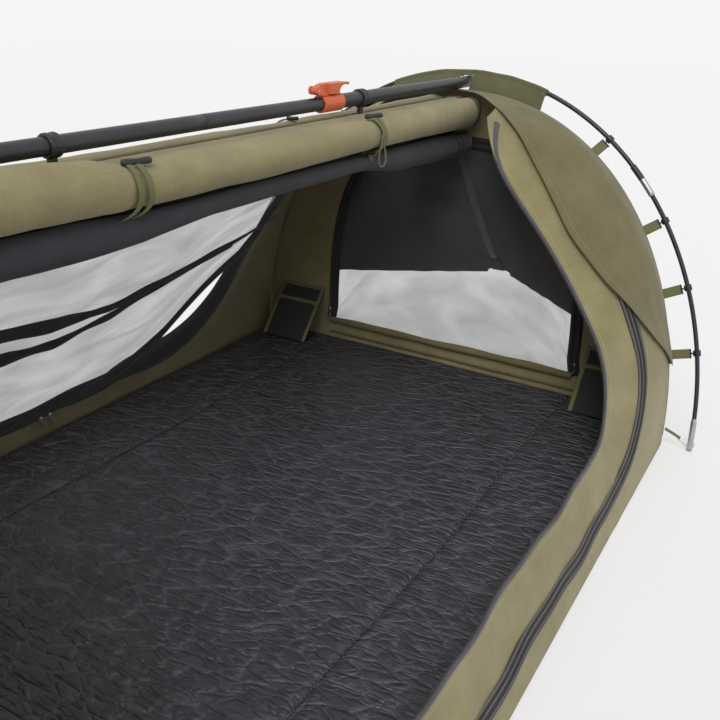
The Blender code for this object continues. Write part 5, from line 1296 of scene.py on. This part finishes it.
# %% [markdown]
# ## Hoops
# Each hoop is a bent rod in three sections, joined by ferrules, with bare tips. Its line is a
# superellipse that leans out as it rises, so a tube along that line makes every section.

# %% Hoop rods and ferrules
HOOP_HALF, HOOP_TOP, HOOP_POWER, HOOP_FOOT, HOOP_LEAN = 0.7696, 0.96397, 2.064, 1.0725, 0.0463
ROD_RADIUS, TIP_RADIUS, TIP_LENGTH, FERRULE_RADIUS = 0.006, 0.0078, 0.095, 0.0081
ALONG_Y = (0, 1, 0)


def hoop_point(end, angle):
    """Point of a hoop's middle line at an angle from the near tip: a superellipse, leaning out."""
    x, rise = arch_points(np.asarray(angle, float), HOOP_HALF, 1.0, HOOP_POWER).T
    return xyz(x, end * (HOOP_FOOT + HOOP_LEAN * rise), GROUND + (HOOP_TOP - GROUND) * rise)


def hoop_part(end, low, high, count):
    """Evenly spaced points of the hoop between two angles."""
    return resample(hoop_point(end, np.radians(np.linspace(low, high, 300))), count)


for label, end in ENDS:
    for side_label, side in SIDES:
        path = hoop_part(end, 0.0 if side == NEAR else 180.0, 90 - side * 41.9, 90)
        length = np.concatenate(([0], np.cumsum(np.linalg.norm(np.diff(path, axis=0), axis=1))))
        radius = np.where(length < TIP_LENGTH, TIP_RADIUS, ROD_RADIUS)
        leg = tube(f"{label}_{side_label}_leg", path, radius, 16, reference=ALONG_Y,
                   dark_rows=length[1:] < TIP_LENGTH + 0.005)
        dress(leg, [POLE, ALLOY], replaces=[f"{label}_hoop_{side_label}_leg"])
        path = hoop_part(end, 90 - side * 45.2, 90 - side * 38.9, 14)
        collar = tube(f"{label}_{side_label}_ferrule", path, FERRULE_RADIUS, 18, reference=ALONG_Y,
                      dark_rows=np.arange(13) > 6)
        dress(collar, [ALLOY, POLE], replaces=[f"{label}_hoop_{side_label}_ferrule"])
    bend = tube(f"{label}_hoop_bend", hoop_part(end, 48.2, 131.8, 120), ROD_RADIUS, 16, reference=ALONG_Y)
    dress(bend, [POLE], replaces=[f"{label}_hoop_top"])
print("hoops ready")

# %% [markdown]
# ## Corded seams, clips and tabs
# A piping cord runs along each arch seam. Short webbing tabs are sewn into it, and each ends in a
# plastic clip that snaps round the rod. The clip is a ring of profile points turned round the
# rod, with a bar and a neck on its inner side.

# %% Corded seams
SEAM_HALF, SEAM_TOP, SEAM_FACE, SEAM_LOW = 0.691, 0.918, 1.0693, 0.03


def seam_arch(end):
    """Middle line of the corded seam, from near the ground over the top and down again."""
    low = math.asin((SEAM_LOW / SEAM_TOP) ** (ARCH_POWER / 2))
    x, z = arch_points(np.linspace(low, np.pi - low, 600), SEAM_HALF, SEAM_TOP, ARCH_POWER).T
    return resample(xyz(x, end * SEAM_FACE, z), 200)


# %% Clips and tabs
CLIP_ANGLES = (16.5, 27.7, 39.8, 57.6)
CLIP_PROFILE = ((0.0070, -0.0066), (0.0078, -0.0075), (0.0098, -0.0070), (0.0102, -0.0055), (0.0098, 0.0),
                (0.0102, 0.0055), (0.0098, 0.0070), (0.0078, 0.0075), (0.0070, 0.0066), (0.0070, -0.0066))
BAR_REACH, BAR_HALF, NECK_REACH, TAB_HALF = 0.0165, 0.0135, 0.0085, 0.0130


def clip_and_tab(label, end, side, angle, number):
    """Band clip round the rod, a bar on its inner side, and a webbing tab from there to the seam.

    The ring is profile radius * (cos toward the seam + sin sideways), along the rod by the profile."""
    turn = math.radians(angle if side == NEAR else 180 - angle)
    middle = hoop_point(end, turn)
    way = unit(hoop_point(end, turn + 0.01) - middle)
    power = (abs(middle[0]) / HALF_WIDTH) ** ARCH_POWER + (middle[2] / ARCH_HEIGHT) ** ARCH_POWER
    seam = middle * (power ** (-1 / ARCH_POWER) - 0.004 / HALF_WIDTH)
    seam[1] = end * SEAM_FACE
    toward = (seam - middle) - ((seam - middle) @ way) * way
    length = np.linalg.norm(toward)
    toward /= length
    third = np.cross(way, toward)
    spin = np.linspace(0, 2 * np.pi, 28, endpoint=False)[:, None]
    ring = [middle + way * rod + reach * (np.cos(spin) * toward + np.sin(spin) * third)
            for reach, rod in CLIP_PROFILE]
    clip = weld(surface(f"{label}_clip_{number}", np.stack(ring), wrap=True))
    dress(clip, [PLASTIC])
    path = middle + toward * BAR_REACH + way * np.linspace(-BAR_HALF, BAR_HALF, 9)[:, None]
    radii = 0.0023 * np.array([0.7, 1, 1, 1, 1, 1, 1, 1, 0.7])
    cross_bar = tube(f"{label}_clip_bar_{number}", path, radii, 12, reference=toward)
    dress(cross_bar, [PLASTIC])
    path = middle + toward * np.linspace(NECK_REACH, BAR_REACH, 5)[:, None]
    neck = tube(f"{label}_clip_neck_{number}", path, 0.0042, 10, 0.55, reference=way)
    dress(neck, [PLASTIC])
    across = np.outer(np.linspace(-TAB_HALF, TAB_HALF, 7), way)
    rows = []
    for share in np.linspace(BAR_REACH / length, 0.99, 12):
        wave = third * 0.0006 * math.sin(6 * share + number)
        rows.append(middle + toward * length * share + across + wave)
    tab = thicken(surface(f"{label}_tab_{number}", np.stack(rows)), 0.0018, 0.0)
    return dress(tab, [BINDING])


for label, end in ENDS:
    cord = tube(f"{label}_seam_cord", seam_arch(end), 0.0040, 12, reference=ALONG_Y)
    dress(cord, [BINDING], replaces=[f"{label}_piping"])
    for side_label, side in SIDES:
        for number, angle in enumerate(CLIP_ANGLES, start=1):
            piece = clip_and_tab(f"{label}_{side_label}", end, side, angle, number)
            if label == "head" and side == NEAR:
                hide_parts(f"near_head_clip_{number}")
print("clips ready")

# %% [markdown]
# ## Hoop sleeves
# A cloth sleeve over the top of each hoop hangs the canvas from the rod. Its section is a
# horseshoe round the rod with a lip inside and a skirt down to the seam, and the skirt is cut
# away where the ridge pole comes in.

# %% Hoop sleeves
SLEEVE_REACH, SLEEVE_FACE, SKIRT_STUB, SLIT_EDGE = 0.0083, 1.0740, 0.14, 1.27


def sleeve(name, end):
    """Columns of the sleeve: a lip, a half turn round the rod, and the skirt, for each point of the rod.

    Round the rod: point = middle + reach * (out sin + back cos). Skirt: a share of the way to the seam."""
    slit = [1.30, 1.25, 0, -1.25, -1.30]
    degrees = np.concatenate((np.linspace(17, 3, 40), slit, np.linspace(-3, -17, 40)))
    middle = hoop_point(end, np.radians(90 - degrees))
    back = np.array([0, end, 0.0])
    out = unit(np.cross(back, along(middle)) * end)
    out *= np.sign(out[:, 2:3])
    skirt = np.where(np.abs(degrees) < SLIT_EDGE, SKIRT_STUB, 1.0)[:, None]
    turn = np.radians(np.linspace(-30, 180, 16))[None, :, None]
    over = middle[:, None] + SLEEVE_REACH * (np.sin(turn) * out[:, None] + np.cos(turn) * back)
    arch_z = ARCH_HEIGHT * (1 - (np.abs(middle[:, 0]) / HALF_WIDTH) ** ARCH_POWER) ** (1 / ARCH_POWER)
    seam = xyz(middle[:, 0], end * SLEEVE_FACE, arch_z - 0.004)
    columns = [over[:, 0] - out * 0.006 * skirt] + [over[:, k] for k in range(16)]
    bow = np.array([0, end * 0.002, 0])
    for share in np.linspace(0, 1, 9)[1:]:
        share = share * skirt
        columns.append(over[:, -1] * (1 - share) + seam * share - bow * np.sin(np.pi * share))
    points = np.stack(columns, 1)
    ripple = 0.0007 * folds(middle[:, :1] * 3, np.linspace(0, 0.3, points.shape[1])[None], 13, 1, 5)
    points = points + out[:, None] * ripple[..., None]
    return thicken(surface(name, points, flip=end == HEAD), 0.0014)


for label, end in ENDS:
    cloth = sleeve(f"{label}_sleeve_cloth", end)
    dress(cloth, [SLEEVE_CANVAS], replaces=[f"{label}_sleeve"])
print("sleeves ready")

# %% [markdown]
# ## Corner links
# At each corner a webbing strap from the base ends in a wire loop, and the hoop's tip stands in
# the loop. The strap is a flat grid along the line to the tip, the wire a closed tube.

# %% Corner links
LINK_LENGTH, LINK_HALF, LINK_GAP = 0.048, 0.0072, 0.01086


def corner_link(label, side, end):
    """Webbing strap from the base's corner, and a wire loop: a half circle round the hoop's tip."""
    tip = hoop_point(end, 0.0 if side == NEAR else math.pi)
    root = np.array([side * 0.6986, end * (HALF_LENGTH - 0.00375), 0.055])
    grip = np.array([tip[0], tip[1], 0.020])
    way = unit(grip - root)
    across = unit(np.array([0, 1.0, 0]) - way[1] * way)
    face = np.cross(way, across)
    rows = [root + way * s + np.outer(np.linspace(-LINK_HALF, LINK_HALF, 6), across)
            + face * 0.001 * math.sin(60 * s) for s in np.linspace(0, LINK_LENGTH, 14)]
    strap = thicken(surface(f"{label}_strap", np.stack(rows)), 0.0017, 0.0)
    dress(strap, [BINDING], replaces=[f"{label}_corner_link"])
    reach = np.linalg.norm(grip - root)
    loop = [root + way * (reach + LINK_GAP * math.cos(t)) + face * LINK_GAP * math.sin(t)
            for t in np.linspace(-np.pi / 2, np.pi / 2, 14)]
    back = root + way * (LINK_LENGTH - 0.0024)
    loop += [back + face * LINK_GAP * 0.5, back - face * LINK_GAP * 0.5]
    loop = resample(np.array(loop + loop[:1]), 50)[:-1]
    dress(loop_tube(f"{label}_wire", loop, 0.0012, 8), [STEEL])


for side_label, side in SIDES:
    for end_label, end in ENDS:
        corner_link(f"{side_label}_{end_label}", side, end)
print("corner links ready")

# %% [markdown]
# ## Ridge pole
# Two tubes, one sliding in the other, with a flip lock between them. Small grooves in a tube are
# rings with a smaller radius. The lock, the ribbed clips, the zip sliders and the floor of the
# shelter are plain shapes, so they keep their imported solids. Weld and Bevel give them soft edges.

# %% Ridge tubes
def straight(name, radius, start, end, groove):
    """Round tube along Y at the ridge's height, with one small groove."""
    around = [groove + step for step in (-0.0012, -0.0006, 0.0006, 0.0012)]
    y = np.unique(np.concatenate((np.linspace(start, end, 40), around)))
    radii = np.where(np.abs(y - groove) < 0.0008, radius - 0.0006, radius)
    return tube(name, xyz(0, y, RIDGE_HEIGHT), radii, 36)


thick = straight("ridge_thick_tube", 0.01535, 0.362, 1.130, 1.118)
dress(thick, [POLE], replaces=["ridge_outer_tube"])
thin = straight("ridge_thin_tube", 0.0138, -1.130, 0.50, -0.006)
dress(thin, [POLE], body="inner_pole", replaces=["ridge_inner_tube"])


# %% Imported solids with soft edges
def soften_solid(node, material, width):
    """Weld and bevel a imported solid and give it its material."""
    item = weld(NODES[node], 0.00001)
    for place in item.material_slots:
        place.material = material
    edge = item.modifiers.new("Soft edges", "BEVEL")
    edge.width = width
    edge.segments = 2
    edge.limit_method = "ANGLE"
    edge.angle_limit = math.radians(34)


for material, width, names in (
        (PLASTIC, 0.0006, ("ridge_clip_1", "ridge_clip_2", "ridge_head_cap", "ridge_foot_cap")),
        (ORANGE, 0.0007, ("lock_collar", "lock_lever")),
        (STEEL, 0.0003, ("lock_pin", "mesh_slider_1", "mesh_slider_2", "mesh_puller_1", "mesh_puller_2")),
        (PVC, 0.002, ("base_tub",))):
    for node in names:
        soften_solid(node, material, width)
print("ridge pole ready")

# %% [markdown]
# ## Corner pockets
# A small pocket hangs in each head corner, from the head wall down to the mattress. It is a
# leaning panel that bulges a little, with a binding down each side and two across. All of them
# are grids on the same leaning plane, so one inner function makes them from shares of it.

# %% Corner pockets
POCKET_TOP, POCKET_BOTTOM = np.array([1.0612, 0.250]), np.array([0.9350, 0.0965])
POCKET_INNER, POCKET_WIDTH, BAND_HALF = 0.452, 0.170, 0.006


def pocket(label, side):
    """Panel = top + run * share, moved off the plane by a bulge: sine waves both ways."""
    length = np.linalg.norm(POCKET_BOTTOM - POCKET_TOP)
    run = (POCKET_BOTTOM - POCKET_TOP) / length
    normal = np.array([run[1], -run[0]])
    x = np.linspace(POCKET_INNER, POCKET_INNER + POCKET_WIDTH, 24)[None]
    share = np.linspace(0, 1, 26)[:, None]
    width = np.sin(np.pi * (x - POCKET_INNER) / POCKET_WIDTH)

    def piece(name, x, share, lift, material, thickness, slot, replaces=()):
        """Sheet on the pocket's plane, dressed."""
        x, share, lift = np.broadcast_arrays(x, share, lift)
        place = POCKET_TOP + (run * length) * share[..., None] + normal * lift[..., None]
        grid = xyz(side * x, place[..., 0], place[..., 1])
        cloth = thicken(surface(f"{label}_pocket_{name}", grid, flip=side == NEAR), thickness)
        dress(cloth, [material], replaces=replaces)

    bulge = 0.006 * np.sin(np.pi * share) * width + 0.0008 * folds(x * 3, share, 3, 1, 4) * width
    piece("panel", x, share, bulge, ZIP_TAPE, 0.0011, "zip_tape", [f"{label}_pocket"])
    sides = (POCKET_INNER + BAND_HALF, POCKET_INNER + POCKET_WIDTH - BAND_HALF)
    for number, edge in enumerate(sides):
        band = np.linspace(edge - BAND_HALF, edge + BAND_HALF, 5)[None]
        piece(f"side_{number}", band, share, 0.0016, BINDING, 0.0012, "webbing")
    for number, place in enumerate((0.30, 0.02)):
        rows = np.linspace(place - BAND_HALF / length, place + BAND_HALF / length, 5)[:, None]
        lift = 0.0022 + 0.006 * np.sin(np.pi * np.clip(rows, 0, 1)) * width
        piece(f"cross_{number}", x, rows, lift, BINDING, 0.0012, "webbing")


for label, side in SIDES:
    pocket(label, side)
print("pockets ready")

# %% [markdown]
# ## Floor and finish
# The floor is a plain pale plane that only shows the object's shadow. It is darker for camera
# rays and glows a little for them, so that it meets the backdrop without a horizon line, while
# the light that it throws back stays that of a pale floor.

# %% Floor
FLOOR_GLOW, FLOOR_PALE, FLOOR_SEEN = 0.41, (0.90, 0.90, 0.90, 1), (0.50, 0.50, 0.50, 1)
reach = np.array([-20.0, 20.0])
floor = surface("studio_floor", xyz(reach[None, :], reach[:, None], -0.0005))
floor_material, tree, shader, _ = start_material("studio floor", 0.95, "Object")
shader.inputs["Specular IOR Level"].default_value = 0.1
shader.inputs["Emission Color"].default_value = (1.0, 1.0, 1.0, 1)
seen = tree.nodes.new("ShaderNodeLightPath").outputs["Is Camera Ray"]
tree.links.new(blend_colours(tree, seen, FLOOR_PALE, FLOOR_SEEN), shader.inputs["Base Color"])
tree.links.new(maths(tree, "MULTIPLY", seen, FLOOR_GLOW), shader.inputs["Emission Strength"])
floor.data.materials.append(floor_material)
